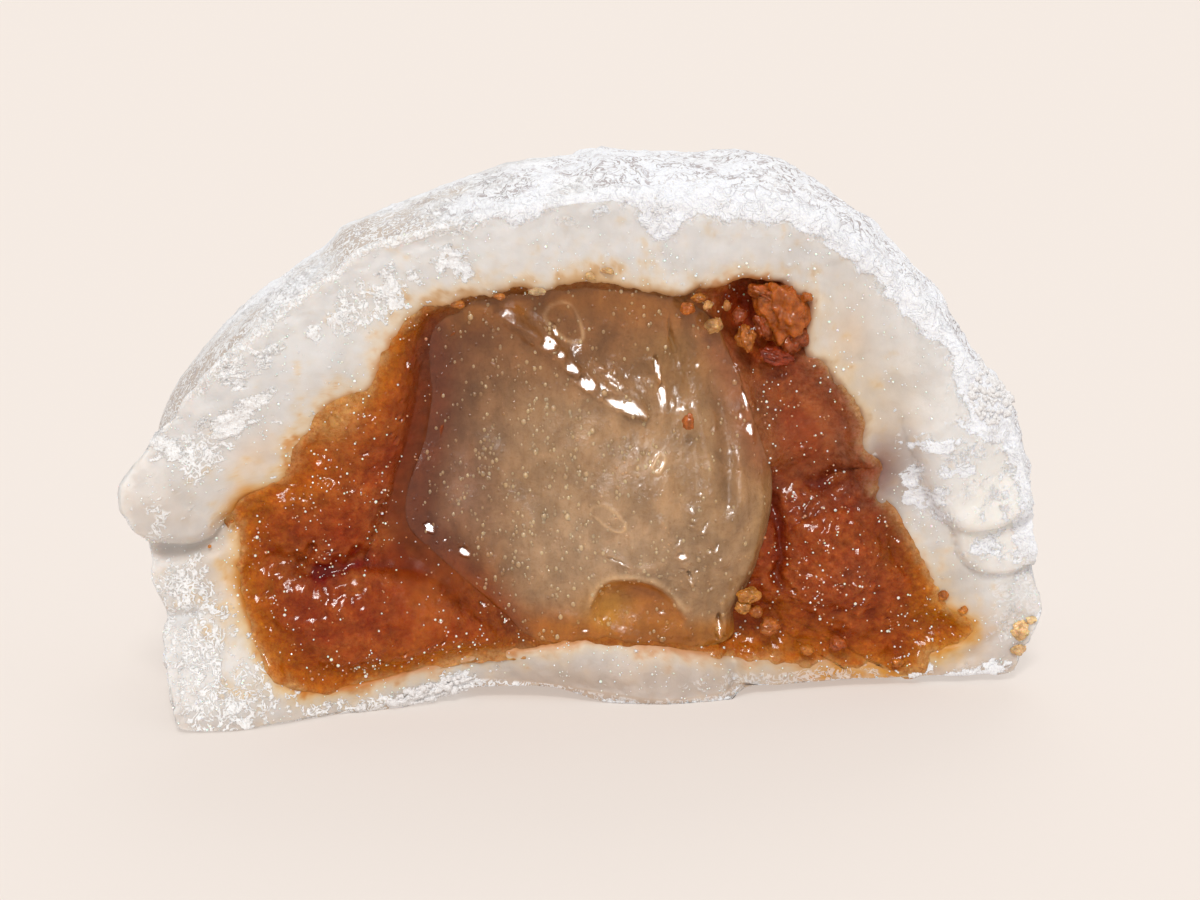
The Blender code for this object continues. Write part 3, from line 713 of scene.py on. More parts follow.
def make_paste():
    angles = even_angles(FILLING, PASTE_AROUND)
    outer, inner = at_angles(FILLING, angles, 0.75), at_angles(CORE, angles, -0.9)
    rings, coarse = [], angles[::4]
    wide = at_angles(FILLING, coarse, 0.3)
    for turn in np.linspace(math.pi / 2, 0.2, 10)[1:]:
        depth = 3.4 + 18.4 * math.sin(turn)
        rings.append(tagged(drawn_in(wide, depth, 0, 22.1, RING_CENTRE), depth, 0.0))
    rings.append(tagged(at_angles(FILLING, angles[::2], 0.6), 2.4, 0.0))
    rings.append(tagged(outer, 1.6, 0.5))
    shares = np.linspace(0, 1, 82)
    across = [outer + (inner - outer) * share for share in shares]
    for share, outline, depth in zip(shares, across, depths_of(across, paste_relief)):
        rings.append(tagged(outline, depth, 1 + share))
    rings.append(tagged(inner, paste_relief(inner) + 1.5, 2.1))
    bed = at_angles(CORE, angles[::2], -0.9)
    rings.append(tagged(bed, paste_relief(bed) + 3.0, 3.0))
    bed = at_angles(CORE, coarse, -0.9)
    for turn in np.linspace(0.4, math.pi / 2, 7)[:-1]:
        depth = 5.0 + 9.2 * math.sin(turn)
        rings.append(tagged(drawn_in(bed, depth, 0, 14.4, RING_CENTRE), depth, 3.0))
    points, faces = solid_of((*np.insert(RING_CENTRE, 1, 22.1), 0.0), rings, (*np.insert(RING_CENTRE, 1, 14.4), 3.0))
    points, zone = points[:, :3].copy(), points[:, 3]

    on_face = smooth(zone, 0.9, 1.02) * (1 - smooth(zone, 2.0, 2.1))
    xz = points[:, [0, 2]]
    wet = 0.9 * blob(xz, -9.4, 12.0, 2.2, 8.5) + 0.9 * blob(xz, -8.0, 9.0, 2.6, 1.8, -25)
    wet += 0.5 * blob(xz, 13.6, 15.6, 2.6, 3.6, -15)
    wet = np.clip(wet, 0, 1)
    dry = 1 - 0.8 * wet
    near, _ = cells(points, 0.62, 31)
    clumps, _ = cells(points, 1.5, 37)
    rough_lobe = blob(xz, 15.6, 7.0, 4.6, 3.8) + 0.7 * blob(xz, 11.8, 22.6, 2.0, 2.4) + 0.4 * blob(xz, -15.0, 14.0, 4.0, 4.0)
    push = dry * (0.20 * (0.55 - clumps) + 0.12 * (0.5 - near) + 0.22 * layered(points, 2.6, 3, 33))
    push += 0.06 * layered(points, 4.0, 2, 35) + 0.03 * layered(points, 0.4, 2, 34) * dry
    push += rough_lobe * dry * (0.26 * layered(points, 1.2, 3, 39) + 0.12 * (0.5 - near))
    core_edge = near_outline(xz, CORE)
    push *= 1 - 0.9 * np.exp(-((core_edge / 0.8) ** 2)) * (1 - jelly_lip(xz))
    points = points + normals_of(points, faces) * (on_face * push)[:, None]
    scattered = small_glints(
        130, ((-13.0, 5.0, 5.0, 2.2, 0.3), (-14.5, 12.5, 4.0, 2.6, 0.15), (-12.0, 18.0, 2.2, 3.2, 0.15),
              (15.8, 7.0, 3.2, 3.4, 0.3), (14.0, 15.5, 1.8, 3.0, 0.1)), np.random.default_rng(61),
    )
    points = turned_to_light(points, on_face, PASTE_GLINTS + scattered)

    hollow = hollowness(points, faces, 14)
    edge = near_outline(xz, FILLING)
    wander = layered(points, 1.8, 3, 71)
    fine = layered(points, 0.6, 3, 73)
    left = 1 - smooth(xz[:, 0], -4, 2)
    tint = np.tile(linear(154, 64, 12), (len(points), 1))
    tint = mixed(tint, linear(146, 68, 34), (1 - left) * smooth(xz[:, 1], 9, 13))
    tint = mixed(tint, linear(168, 96, 52), 0.8 * blob(xz, 14.0, 16.4, 2.2, 3.8) * (1 - left))
    tint = mixed(tint, linear(172, 92, 30), left * (0.8 * blob(xz, -15.6, 13.4, 2.4, 1.0, 20) + 0.6 * blob(xz, -12.8, 16.6, 1.4, 2.6, -30)))
    tint = mixed(tint, linear(166, 88, 46), left * 0.7 * blob(xz, -11.2, 11.6, 1.2, 2.0))
    tint = mixed(tint, linear(160, 72, 22), 0.5 * blob(xz, -14.0, 4.4, 4.5, 2.0))
    # Painted shade down the paste beside the jelly's left edge.
    tint = mixed(tint, linear(118, 38, 8), 0.9 * (blob(xz, -9.4, 14.6, 1.3, 6.0, 8) + blob(xz, -8.2, 21.0, 1.3, 1.8)))
    # Painted shade in the concave wet corner below the jelly's left end.
    tint = mixed(tint, linear(106, 36, 8), 0.85 * (blob(xz, -7.0, 7.2, 3.2, 1.0, -32) + blob(xz, -9.0, 9.4, 1.8, 1.6)))
    # Painted shade along the deep left crease.
    tint = mixed(tint, linear(114, 5, 0), 0.95 * stroke(xz, PASTE_CREASES[0][0], 0.7) + 0.85 * blob(xz, -15.2, 8.7, 2.4, 0.9))
    # Painted shade in the hollow above the lower right lobe and under the jelly's right lip.
    tint = mixed(tint, linear(98, 18, 2), 0.9 * blob(xz, 15.6, 12.8, 2.2, 0.9, 20) + 0.75 * blob(xz, 11.9, 9.6, 0.8, 2.0))
    # Painted shade along the crease at the right edge of the paste, and a darker spot near (15.4, 17.6).
    tint = mixed(tint, linear(120, 38, 8), 0.75 * blob(xz, 18.8, 9.0, 1.0, 2.8, 28) + 0.6 * blob(xz, 15.4, 17.6, 1.0, 1.8, 30))
    tint = mixed(tint, linear(176, 98, 20), 0.85 * blob(xz, 12.4, 3.0, 2.8, 1.2) + 0.8 * blob(xz, 20.8, 4.0, 2.4, 1.5) + 0.5 * blob(xz, 12.2, 5.4, 1.0, 1.2))
    tint = mixed(tint, linear(184, 60, 2), 0.9 * (blob(xz, 9.4, 23.4, 1.5, 1.9) + blob(xz, 11.8, 20.6, 2.2, 1.0)))
    pit = blob(xz, 10.8, 22.6, 2.8, 2.8)
    # Painted shade in the hollows and painted light on the crests.
    tint = mixed(tint, linear(104, 26, 5), np.clip(hollow * 6.0, 0, 0.6) * (0.6 + 0.4 * dry) * (1 - pit))
    tint = mixed(tint, linear(190, 106, 48), np.clip(-hollow * 4.0 - 0.05, 0, 0.45))
    soft = np.exp(-((core_edge / 1.3) ** 2)) * (1 - jelly_lip(xz)) * (1 - pit)
    right_top = (1 - left) * smooth(xz[:, 1], 11, 14)
    tint = mixed(tint, linear(134, 40, 6), smooth(layered(points, 3.4, 2, 76), 0.05, 0.6) * 0.5 * (1 - blob(xz, 16.0, 7.0, 4.0, 3.0)))
    tint = mixed(tint, linear(162, 82, 42), 0.6 * blob(xz, 16.2, 7.4, 2.2, 1.8))
    tint = mixed(tint, linear(174, 92, 34), smooth(layered(points, 2.6, 3, 78), 0.1, 0.7) * 0.6)
    tint = mixed(tint, linear(164, 98, 64), 0.5 * right_top * np.exp(-((edge / 1.2) ** 2)))
    amber = left + (1 - left) * 0.75 * (1 - smooth(xz[:, 1], 6, 12))
    band = np.exp(-(((edge + 0.8 * wander) / 1.5) ** 2))
    tint = mixed(tint, linear(184, 98, 4), amber * band * 0.9)
    shore = np.clip(inside_of(xz, FILLING) + 0.35 + 0.4 * wander + 0.25 * fine, 0, None)
    tint = mixed(tint, stain_tint(xz), np.exp(-((shore / 1.0) ** 2)) * 0.95 * (1 - pit))
    tint = mixed(tint, stain_tint(xz) * 0.4 + linear(220, 176, 122) * 0.6, np.exp(-((shore / 0.45) ** 2)) * 0.9 * (1 - pit))
    tint = mixed(tint, linear(214, 160, 96), 0.85 * blob(xz, -13.8, 17.9, 0.9, 2.0, -32))
    tint = mixed(tint, linear(178, 88, 2), 0.7 * blob(xz, -15.4, 14.8, 1.6, 1.6, -30))
    # More painted shade along the crease at the right edge.
    tint = mixed(tint, linear(112, 40, 8), 0.7 * blob(xz, 18.5, 9.2, 1.0, 2.2, 28))
    tint = mixed(tint, seam_tint(xz), soft * 0.95)
    tint = tint * (1 + 0.2 * fine + 0.14 * wander)[:, None]
    add_piece(
        "bean_paste", points, faces, paste_looks(), "paste_filling",
        {"tint": np.clip(tint, 0, 1)}, {"wet": wet},
    )
    return points, faces, wet, edge


# ---------------------------------------------------------------- jelly core

JELLY_AROUND = 840

SHOULDER = ((-7.0, 24.4), (-4.2, 23.0), (-2.2, 21.9), (-0.6, 20.5), (1.0, 19.2), (2.8, 18.1), (4.6, 17.4), (6.6, 17.6), (8.6, 18.6))
CORE_SWELLS = (
    (4.5, 10.5, 6.5, 7.0, 2.4),  # pulled belly
    (9.0, 11.0, 2.0, 5.0, 0.9),  # lip along the right edge
    (-7.0, 17.0, 3.5, 7.0, -0.8),  # shaded left side
    (3.0, 6.1, 2.3, 1.3, -0.7),  # burst bubble
)
JELLY_FOLDS = (
    # path, width, height; below zero is a groove
    (((-3.6, 22.8), (-2.2, 21.7), (-0.8, 20.4), (0.6, 19.2), (2.2, 18.2), (3.8, 17.7)), 0.55, 0.42),
    (((0.2, 21.0), (1.4, 20.0), (2.8, 19.0), (4.2, 18.6)), 0.4, 0.26),
    (((4.2, 20.2), (4.8, 19.2), (5.2, 17.8)), 0.35, 0.2),
    (((7.6, 20.4), (8.2, 17.6), (8.6, 14.6), (8.4, 11.6)), 0.5, -0.3),
    (((9.5, 19.6), (9.9, 17.6), (10.1, 15.2)), 0.35, 0.3),
    (((6.0, 19.8), (6.9, 17.0), (7.4, 14.4), (7.5, 12.0)), 0.45, 0.2),
    (((9.2, 14.6), (9.3, 12.4), (8.9, 10.2)), 0.4, 0.16),
    (((4.6, 11.2), (5.4, 9.8), (6.0, 8.4)), 0.35, 0.2),
    (((6.4, 11.6), (7.4, 10.0), (8.2, 8.4)), 0.4, 0.24),
    (((1.2, 9.3), (2.2, 8.8), (3.2, 8.3), (4.6, 8.4)), 0.35, 0.2),
    (((6.1, 8.4), (6.3, 7.6), (6.0, 7.0)), 0.3, 0.2),
    (((-5.4, 15.4), (-4.0, 12.4), (-2.0, 10.2)), 0.9, 0.2),
    (((-7.6, 12.6), (-6.2, 9.6), (-4.4, 7.4)), 0.7, 0.2),
    (((8.3, 5.8), (8.4, 4.8), (8.6, 3.6)), 0.3, 0.3),
    (((6.2, 5.4), (6.0, 4.6), (6.4, 3.8)), 0.35, 0.2),
    (((-2.6, 6.4), (-1.6, 5.4), (0.2, 5.0)), 0.4, 0.16),
)
WINDOW = ((0.7, 4.9), (0.8, 6.3), (1.3, 7.3), (2.5, 7.7), (4.0, 7.4), (5.0, 6.7), (5.7, 5.8), (6.2, 4.6), (4.4, 3.6), (2.2, 4.0))
FILM_RINGS = (
    # closed path of a thin film's rim on the jelly
    ((-1.9, 23.0), (-1.3, 23.8), (-0.4, 23.7), (0.1, 22.8), (0.3, 21.7), (-0.4, 21.5), (-1.2, 22.1)),
    ((0.5, 11.9), (1.3, 12.2), (2.0, 11.7), (2.5, 11.0), (2.1, 10.6), (1.2, 11.1)),
    ((4.1, 14.3), (4.6, 15.1), (4.9, 14.8), (4.5, 14.1)),
)


JELLY_GLINTS = (
    # x, z, half width, half height, tilt: spots of jelly that face the light
    (1.35, 18.7, 0.75, 0.42, -36), (0.9, 18.5, 0.5, 0.12, -34), (1.9, 19.4, 0.7, 0.12, -32),
    (-0.2, 19.3, 0.4, 0.12, -40), (3.0, 18.6, 0.5, 0.1, -24), (-1.3, 22.2, 0.16, 0.4, 20), (0.5, 19.2, 0.6, 0.4, -40), (2.2, 19.0, 0.5, 0.15, -20), (-0.4, 20.1, 0.5, 0.28, -42),
    (-1.7, 21.6, 0.46, 0.42, -30), (-1.0, 20.9, 0.3, 0.2, -40), (1.2, 20.0, 0.4, 0.1, -20), (3.6, 18.7, 0.3, 0.12, -20),
    (4.6, 19.8, 0.16, 0.75, 8), (4.9, 18.4, 0.22, 0.5, 6), (5.4, 17.8, 0.22, 0.22, 0), (9.7, 18.0, 0.19, 0.7, 6),
    (9.9, 16.3, 0.24, 0.4, 0), (9.4, 17.0, 0.1, 0.3, 0), (8.2, 4.3, 0.17, 0.7, 4), (8.2, 3.4, 0.2, 0.14, 0),
    (5.6, 9.95, 0.18, 0.32, -35), (5.8, 9.1, 0.34, 0.24, 0), (7.1, 10.8, 0.15, 0.42, -28), (7.8, 9.6, 0.17, 0.3, -28),
    (8.0, 8.9, 0.12, 0.12, 0), (2.2, 8.75, 0.6, 0.1, -25), (0.7, 7.9, 0.16, 0.12, 0), (6.35, 7.6, 0.12, 0.5, 15),
    (6.9, 12.8, 0.14, 0.14, 0), (-4.6, 12.6, 0.1, 0.1, 0), (3.4, 13.4, 0.1, 0.12, 0), (-2.9, 18.2, 0.1, 0.1, 0),
    (-4.9, 20.4, 0.12, 0.2, 0), (6.9, 20.0, 0.14, 0.2, 0), (1.5, 4.9, 0.2, 0.12, 0), (4.8, 5.2, 0.22, 0.14, 0),
    (-8.7, 10.6, 0.36, 0.28, -30), (-7.8, 9.8, 0.12, 0.12, -30), (-6.7, 9.1, 0.34, 0.28, -30), (-7.5, 9.2, 0.16, 0.08, -30),
    (-5.8, 7.5, 0.2, 0.1, -40), (0.3, 4.2, 0.3, 0.12, 0), (-0.6, 23.0, 0.1, 0.16, 0), (2.4, 20.7, 0.14, 0.1, 0),
    (2.7, 17.85, 1.25, 0.42, -25),
)
PASTE_GLINTS = (
    (-14.6, 9.75, 0.6, 0.12, 4), (-12.6, 7.6, 0.3, 0.14, 0), (-5.6, 5.9, 0.3, 0.12, -35), (-4.3, 4.9, 0.22, 0.12, -35),
    (-16.4, 7.4, 0.25, 0.12, 10), (-9.9, 20.6, 0.12, 0.3, 0), (-10.6, 16.2, 0.12, 0.25, -10), (-11.6, 12.6, 0.2, 0.16, 0),
    (13.3, 10.3, 0.3, 0.16, 0), (14.5, 9.2, 0.32, 0.14, 0), (16.0, 10.3, 0.3, 0.16, 0), (15.4, 17.7, 0.2, 0.12, 0),
    (12.6, 6.2, 0.16, 0.3, 0), (17.2, 6.6, 0.26, 0.12, -30), (13.2, 14.8, 0.16, 0.22, 0), (12.4, 20.1, 0.3, 0.1, 0),
)
TO_THE_LIGHT = np.array((-0.19, 0.51))  # how much deeper such a spot gets for each millimetre of x and z


def small_glints(count, centres, rng):
    """Small glint spots scattered about the centres."""
    spots = []
    for x, z, half_width, half_height, share in centres:
        for _ in range(int(count * share)):
            size = rng.uniform(0.06, 0.15)
            spot = (x + half_width * rng.uniform(-1, 1), z + half_height * rng.uniform(-1, 1))
            spots.append((*spot, size * rng.uniform(0.7, 1.6), size, rng.uniform(-40, 40)))
    return tuple(spots)


def turned_to_light(points, on_face, spots):
    """The points, with each glint spot of the face turned to the light."""
    points = points.copy()
    for x, z, half_width, half_height, tilt in spots:
        reach = 1.6 * max(half_width, half_height)
        near = np.flatnonzero((np.abs(points[:, [0, 2]] - (x, z)).max(axis=1) < reach) & (on_face > 0.5))
        if len(near) < 4:
            continue
        xz = points[near][:, [0, 2]]
        window = np.maximum(blob(xz, x, z, half_width, half_height, tilt), 1e-9)
        share = smooth(np.sqrt(-np.log(window)) + 0.25 * layered(points[near], 0.45, 2, 59), 1.3, 0.95)
        middle = np.average(points[near, 1], weights=share + 1e-6)
        wrinkled = 0.006 * layered(points[near], 0.3, 2, 58)
        points[near, 1] += 0.98 * share * (middle + (xz - (x, z)) @ TO_THE_LIGHT + wrinkled - points[near, 1])
    return points


def above_shoulder(xz):
    """Distance above the line where the belly of the jelly turns back, negative below it."""
    distance, side, along = from_path(xz, SHOULDER)
    return distance * side * smooth(along, 0.0, 0.15) * smooth(1 - along, 0.0, 0.2)


def jelly_relief(xz):
    depth = np.full(xz.shape[:-1], 0.6)
    above = above_shoulder(xz)
    depth += 0.5 * np.clip(above / 1.0, 0, 1) * np.exp(-((np.maximum(above - 1.0, 0) / 2.6) ** 2))
    for x, z, half_width, half_height, rise in CORE_SWELLS:
        depth -= rise * blob(xz, x, z, half_width, half_height)
    for path, width, height in JELLY_FOLDS:
        depth -= height * stroke(xz, path, width)
    window = inside_of(xz, WINDOW)
    depth += 0.4 * smooth(window, -0.1, 0.6) * smooth(xz[..., 1], 2.2, 6.4)
    depth -= 0.18 * np.exp(-((window + 0.15) / 0.22) ** 2) * smooth(xz[..., 1], 5.2, 6.6)
    for path in FILM_RINGS:
        film = inside_of(xz, path)
        depth -= 0.07 * np.exp(-((film / 0.11) ** 2)) + 0.05 * smooth(film, 0, 0.5)
    return depth


def make_jelly():
    """The jelly's rings go from its hidden back round to the middle of its face."""
    angles = even_angles(CORE, JELLY_AROUND)
    rings, coarse = [], angles[::4]
    outline = at_angles(CORE, coarse)
    for turn in np.linspace(math.pi / 2, 0.25, 9)[1:]:
        depth = 2.6 + 11.2 * math.sin(turn)
        rings.append(tagged(drawn_in(outline, depth, 0, 14.0, RING_CENTRE), depth, 0.0))
    rim = at_angles(CORE, angles[::2])
    rings.append(tagged(rim, jelly_relief(rim) + 1.6, 0.4))
    full = at_angles(CORE, angles, 0.05)
    high = smooth(full[:, 1], 19.5, 22.5) * (1 - smooth(full[:, 0], 5.0, 8.0))
    lowest = (1 - smooth(full[:, 1], 3.8, 5.2)) * smooth(full[:, 0], -4.0, -2.0)
    outward = (full - RING_CENTRE) / np.linalg.norm(full - RING_CENTRE, axis=1)[:, None]
    full = full + outward * (0.85 * high + 0.5 * lowest)[:, None]
    sharp = 0.12 + 0.88 * jelly_lip(full) * smooth(full[:, 1], 3.0, 5.0)
    shares = np.concatenate([np.linspace(0, 0.30, 34), 0.30 + 0.66 * (np.arange(1, 64) / 63)])
    steps = [1 if share < 0.45 else 2 if share < 0.7 else 4 if share < 0.86 else 8 for share in shares]
    across = [full[::step] + (RING_CENTRE - full[::step]) * share for share, step in zip(shares, steps)]
    for share, step, outline, depth in zip(shares, steps, across, depths_of(across, jelly_relief)):
        inset = share * 11.0
        round_off = 0.9 * np.clip(1 - inset / 0.9, 0, 1) ** 2.2 * sharp[::step]
        rings.append(tagged(outline, depth + round_off, 1 + share))
    tip_depth = float(jelly_relief(RING_CENTRE[None, :])[0])
    points, faces = solid_of((*np.insert(RING_CENTRE, 1, 14.0), 0.0), rings, (*np.insert(RING_CENTRE, 1, tip_depth), 2.0))
    points, zone = points[:, :3].copy(), points[:, 3]
    on_face = smooth(zone, 0.95, 1.03)
    xz = points[:, [0, 2]]
    stretched = points / np.array((1.0, 1.0, 2.6))
    turned = points @ np.array(((0.85, 0, 0.52), (0, 1, 0), (-0.52, 0, 0.85)))
    wrinkles = layered(turned / np.array((2.2, 1.0, 1.0)), 0.62, 2, 57)
    top = np.exp(-(((above_shoulder(xz) - 0.6) / 1.6) ** 2))
    push = on_face * (0.12 * layered(points, 3.6, 2, 51) + 0.08 * layered(stretched, 1.3, 3, 53))
    push += on_face * (0.012 * layered(points, 0.45, 2, 55) + (0.008 + 0.018 * top) * wrinkles)
    points = points + normals_of(points, faces) * push[:, None]
    middle = np.linalg.norm(points[:, [0, 2]] - RING_CENTRE, axis=1)
    points = settle(points, faces, 12, 0.6, on_face * (1 - smooth(middle, 0.4, 1.2)))
    scattered = small_glints(
        60, ((2.0, 19.6, 3.0, 1.4, 0.3), (7.4, 17.5, 2.4, 3.5, 0.25), (6.8, 9.0, 2.0, 2.4, 0.2), (0.0, 22.8, 6.0, 1.0, 0.2)),
        np.random.default_rng(62),
    )
    points = turned_to_light(points, on_face, scattered + JELLY_GLINTS)

    wander = layered(points, 2.4, 3, 75)
    streaks = layered(stretched, 0.9, 3, 77)
    edge = near_outline(xz, CORE)
    x, z = xz[:, 0], xz[:, 1]
    tint = np.tile(linear(154, 121, 88), (len(points), 1))
    tint = mixed(tint, linear(168, 130, 90), smooth(x, 1, 8) * 0.8)
    tint = mixed(tint, linear(168, 138, 108), blob(xz, 1.6, 9.4, 6.0, 2.8) * 0.85)
    # Darker towards the top: partly paste seen through thin jelly, partly painted shade.
    tint = mixed(tint, linear(122, 78, 40), smooth(z, 15.5, 22) * 0.9 * (1 - 0.45 * smooth(x, 1, 7)))
    tint = mixed(tint, linear(142, 100, 52), blob(xz, 6.4, 21.0, 2.6, 2.8) * 0.75)
    # Darker to the left: partly paste seen through thin jelly, partly painted shade.
    tint = mixed(tint, linear(108, 66, 38), (1 - smooth(x, -9.0, -1.5)) * 0.9)
    tint = mixed(tint, linear(84, 40, 18), (1 - smooth(x + 0.25 * (z - 14), -10.4, -7.0)) * 0.85)
    tint = mixed(tint, linear(146, 108, 84), 0.4 * blob(xz, -7.2, 12.0, 0.8, 2.2, -30))
    tint = mixed(tint, linear(136, 98, 76), blob(xz, -6.4, 13.4, 1.2, 3.0, 12) * 0.5)
    tint = mixed(tint, linear(150, 84, 12), 0.9 * blob(xz, -2.2, 4.4, 3.4, 1.4) + 0.6 * blob(xz, -6.2, 7.6, 2.0, 1.8))
    tint = mixed(tint, linear(172, 132, 84), blob(xz, 10.5, 9.6, 0.6, 3.6, -6) * 0.8)
    tint = mixed(tint, linear(176, 116, 60), blob(xz, 10.4, 14.8, 0.9, 2.6) * 0.5)
    tint = mixed(tint, linear(128, 80, 38), blob(xz, 8.2, 15.4, 0.5, 3.4, 5) * 0.45)
    tint = mixed(tint, linear(150, 92, 44), 0.6 * blob(xz, 5.0, 23.0, 3.0, 1.0))
    soft = np.exp(-((edge / 1.5) ** 2)) * (1 - jelly_lip(xz))
    # Darker along the jelly's left edge: the paste's colour and painted shade.
    tint = mixed(tint, linear(96, 44, 18), soft * (1 - smooth(x, -6.0, -3.0)) * 0.9)
    tint = mixed(tint, linear(156, 96, 58), soft * smooth(x, 5.0, 8.0) * 0.9)
    tint = mixed(tint, linear(150, 96, 44), soft * smooth(z, 21.0, 23.5) * (1 - smooth(x, 5.0, 8.0)) * 0.8)
    tint = mixed(tint, linear(170, 134, 96), 0.45 * blob(xz, 2.0, 16.6, 4.0, 1.0, -18))
    tint = tint * (1 - 0.18 * smooth(x, 3.5, 7.0) * (1 - 0.5 * smooth(z, 16, 19)))[:, None]
    window = inside_of(xz, WINDOW)
    tint = mixed(tint, linear(162, 94, 18), smooth(window, -0.15, 0.35) * 0.85)
    tint = mixed(tint, linear(140, 74, 20), smooth(window, 0.0, 0.5) * smooth(z, 5.8, 7.2) * 0.6)
    tint = mixed(tint, linear(184, 130, 62), blob(xz, 1.9, 5.6, 0.9, 1.3) * 0.6)
    tint = mixed(tint, linear(214, 180, 140), np.exp(-((window + 0.12) / 0.2) ** 2) * smooth(z, 5.0, 6.4) * 0.45)
    tint = mixed(tint, linear(162, 100, 20), (1 - smooth(z, 3.9, 5.4)) * smooth(x, -3, 0) * 0.85)
    tint = mixed(tint, linear(186, 130, 34), 0.7 * blob(xz, 1.6, 5.0, 1.4, 1.8))
    tint = mixed(tint, seam_tint(xz) * 0.86, np.exp(-((edge + 0.3 * wander) / 0.9) ** 2) * 0.95 * (1 - jelly_lip(xz)))
    for path in FILM_RINGS:
        film = inside_of(xz, path)
        tint = mixed(tint, linear(206, 170, 128), np.exp(-((film / 0.1) ** 2)) * (0.35 + 0.3 * wander))
    tint = tint * (1 + 0.08 * wander + 0.10 * streaks)[:, None]
    add_piece(
        "jelly", points, faces, jelly_looks(), "jelly_core", {"tint": np.clip(tint, 0, 1)},
    )
    return points, faces, zone, tint


# ---------------------------------------------------------------- materials


class Looks:
    """A node material, with short calls that add a node and give back its output."""

    def __init__(self, name):
        self.material = bpy.data.materials.new(name)
        self.material.use_nodes = True
        self.tree = self.material.node_tree
        self.shader = self.tree.nodes["Principled BSDF"]
        self.count = 0

    def node(self, kind, **settings):
        made = self.tree.nodes.new(kind)
        made.location = (-220 - 200 * (self.count % 8), 400 - 190 * (self.count // 8))
        self.count += 1
        for key, value in settings.items():
            setattr(made, key, value)
        return made

    def feed(self, socket, value):
        if isinstance(value, bpy.types.NodeSocket):
            self.tree.links.new(value, socket)
        else:
            socket.default_value = value

    def attribute(self, name, output="Color"):
        return self.node("ShaderNodeAttribute", attribute_name=name).outputs[output]

    def position(self):
        return self.node("ShaderNodeTexCoord").outputs["Object"]

    def math(self, operation, a, b=0.0, clamp=False):
        made = self.node("ShaderNodeMath", operation=operation, use_clamp=clamp)
        self.feed(made.inputs[0], a)
        self.feed(made.inputs[1], b)
        return made.outputs[0]

    def ramp(self, value, low, high, start=0.0, end=1.0):
        made = self.node("ShaderNodeMapRange", interpolation_type="SMOOTHSTEP")
        for key, given in (("Value", value), ("From Min", low), ("From Max", high), ("To Min", start), ("To Max", end)):
            self.feed(made.inputs[key], given)
        return made.outputs["Result"]

    def mix(self, amount, a, b, blend="MIX"):
        made = self.node("ShaderNodeMix", data_type="RGBA", blend_type=blend)
        self.feed(made.inputs["Factor"], amount)
        self.feed(made.inputs["A"], a)
        self.feed(made.inputs["B"], b)
        return made.outputs["Result"]

    def noise(self, size, detail=3.0, roughness=0.6, distortion=0.0, stretch=None):
        """Noise with bumps about size millimetres wide."""
        where = self.position()
        if stretch:
            scaled = self.node("ShaderNodeVectorMath", operation="MULTIPLY")
            self.feed(scaled.inputs[0], where)
            scaled.inputs[1].default_value = stretch
            where = scaled.outputs[0]
        made = self.node("ShaderNodeTexNoise")
        self.feed(made.inputs["Vector"], where)
        made.inputs["Scale"].default_value = 1000 / size
        made.inputs["Detail"].default_value = detail
        made.inputs["Roughness"].default_value = roughness
        made.inputs["Distortion"].default_value = distortion
        return made.outputs["Fac"]

    def specks(self, size, feature="F1", output="Distance"):
        made = self.node("ShaderNodeTexVoronoi", feature=feature)
        self.feed(made.inputs["Vector"], self.position())
        made.inputs["Scale"].default_value = 1000 / size
        return made.outputs[output]

    def bump(self, height, distance, strength=1.0, normal=None):
        """Relief of that many millimetres."""
        made = self.node("ShaderNodeBump")
        made.inputs["Strength"].default_value = strength
        made.inputs["Distance"].default_value = distance * MM
        self.feed(made.inputs["Height"], height)
        if normal is not None:
            self.feed(made.inputs["Normal"], normal)
        return made.outputs["Normal"]

    def finish(self, colour, roughness, normal, **sockets):
        self.feed(self.shader.inputs["Base Color"], colour)
        self.feed(self.shader.inputs["Roughness"], roughness)
        self.feed(self.shader.inputs["Normal"], normal)
        for key, value in sockets.items():
            self.feed(self.shader.inputs[key.replace("_", " ")], value)
        return self.material


def rgba(r, g, b):
    return (*linear(r, g, b), 1.0)


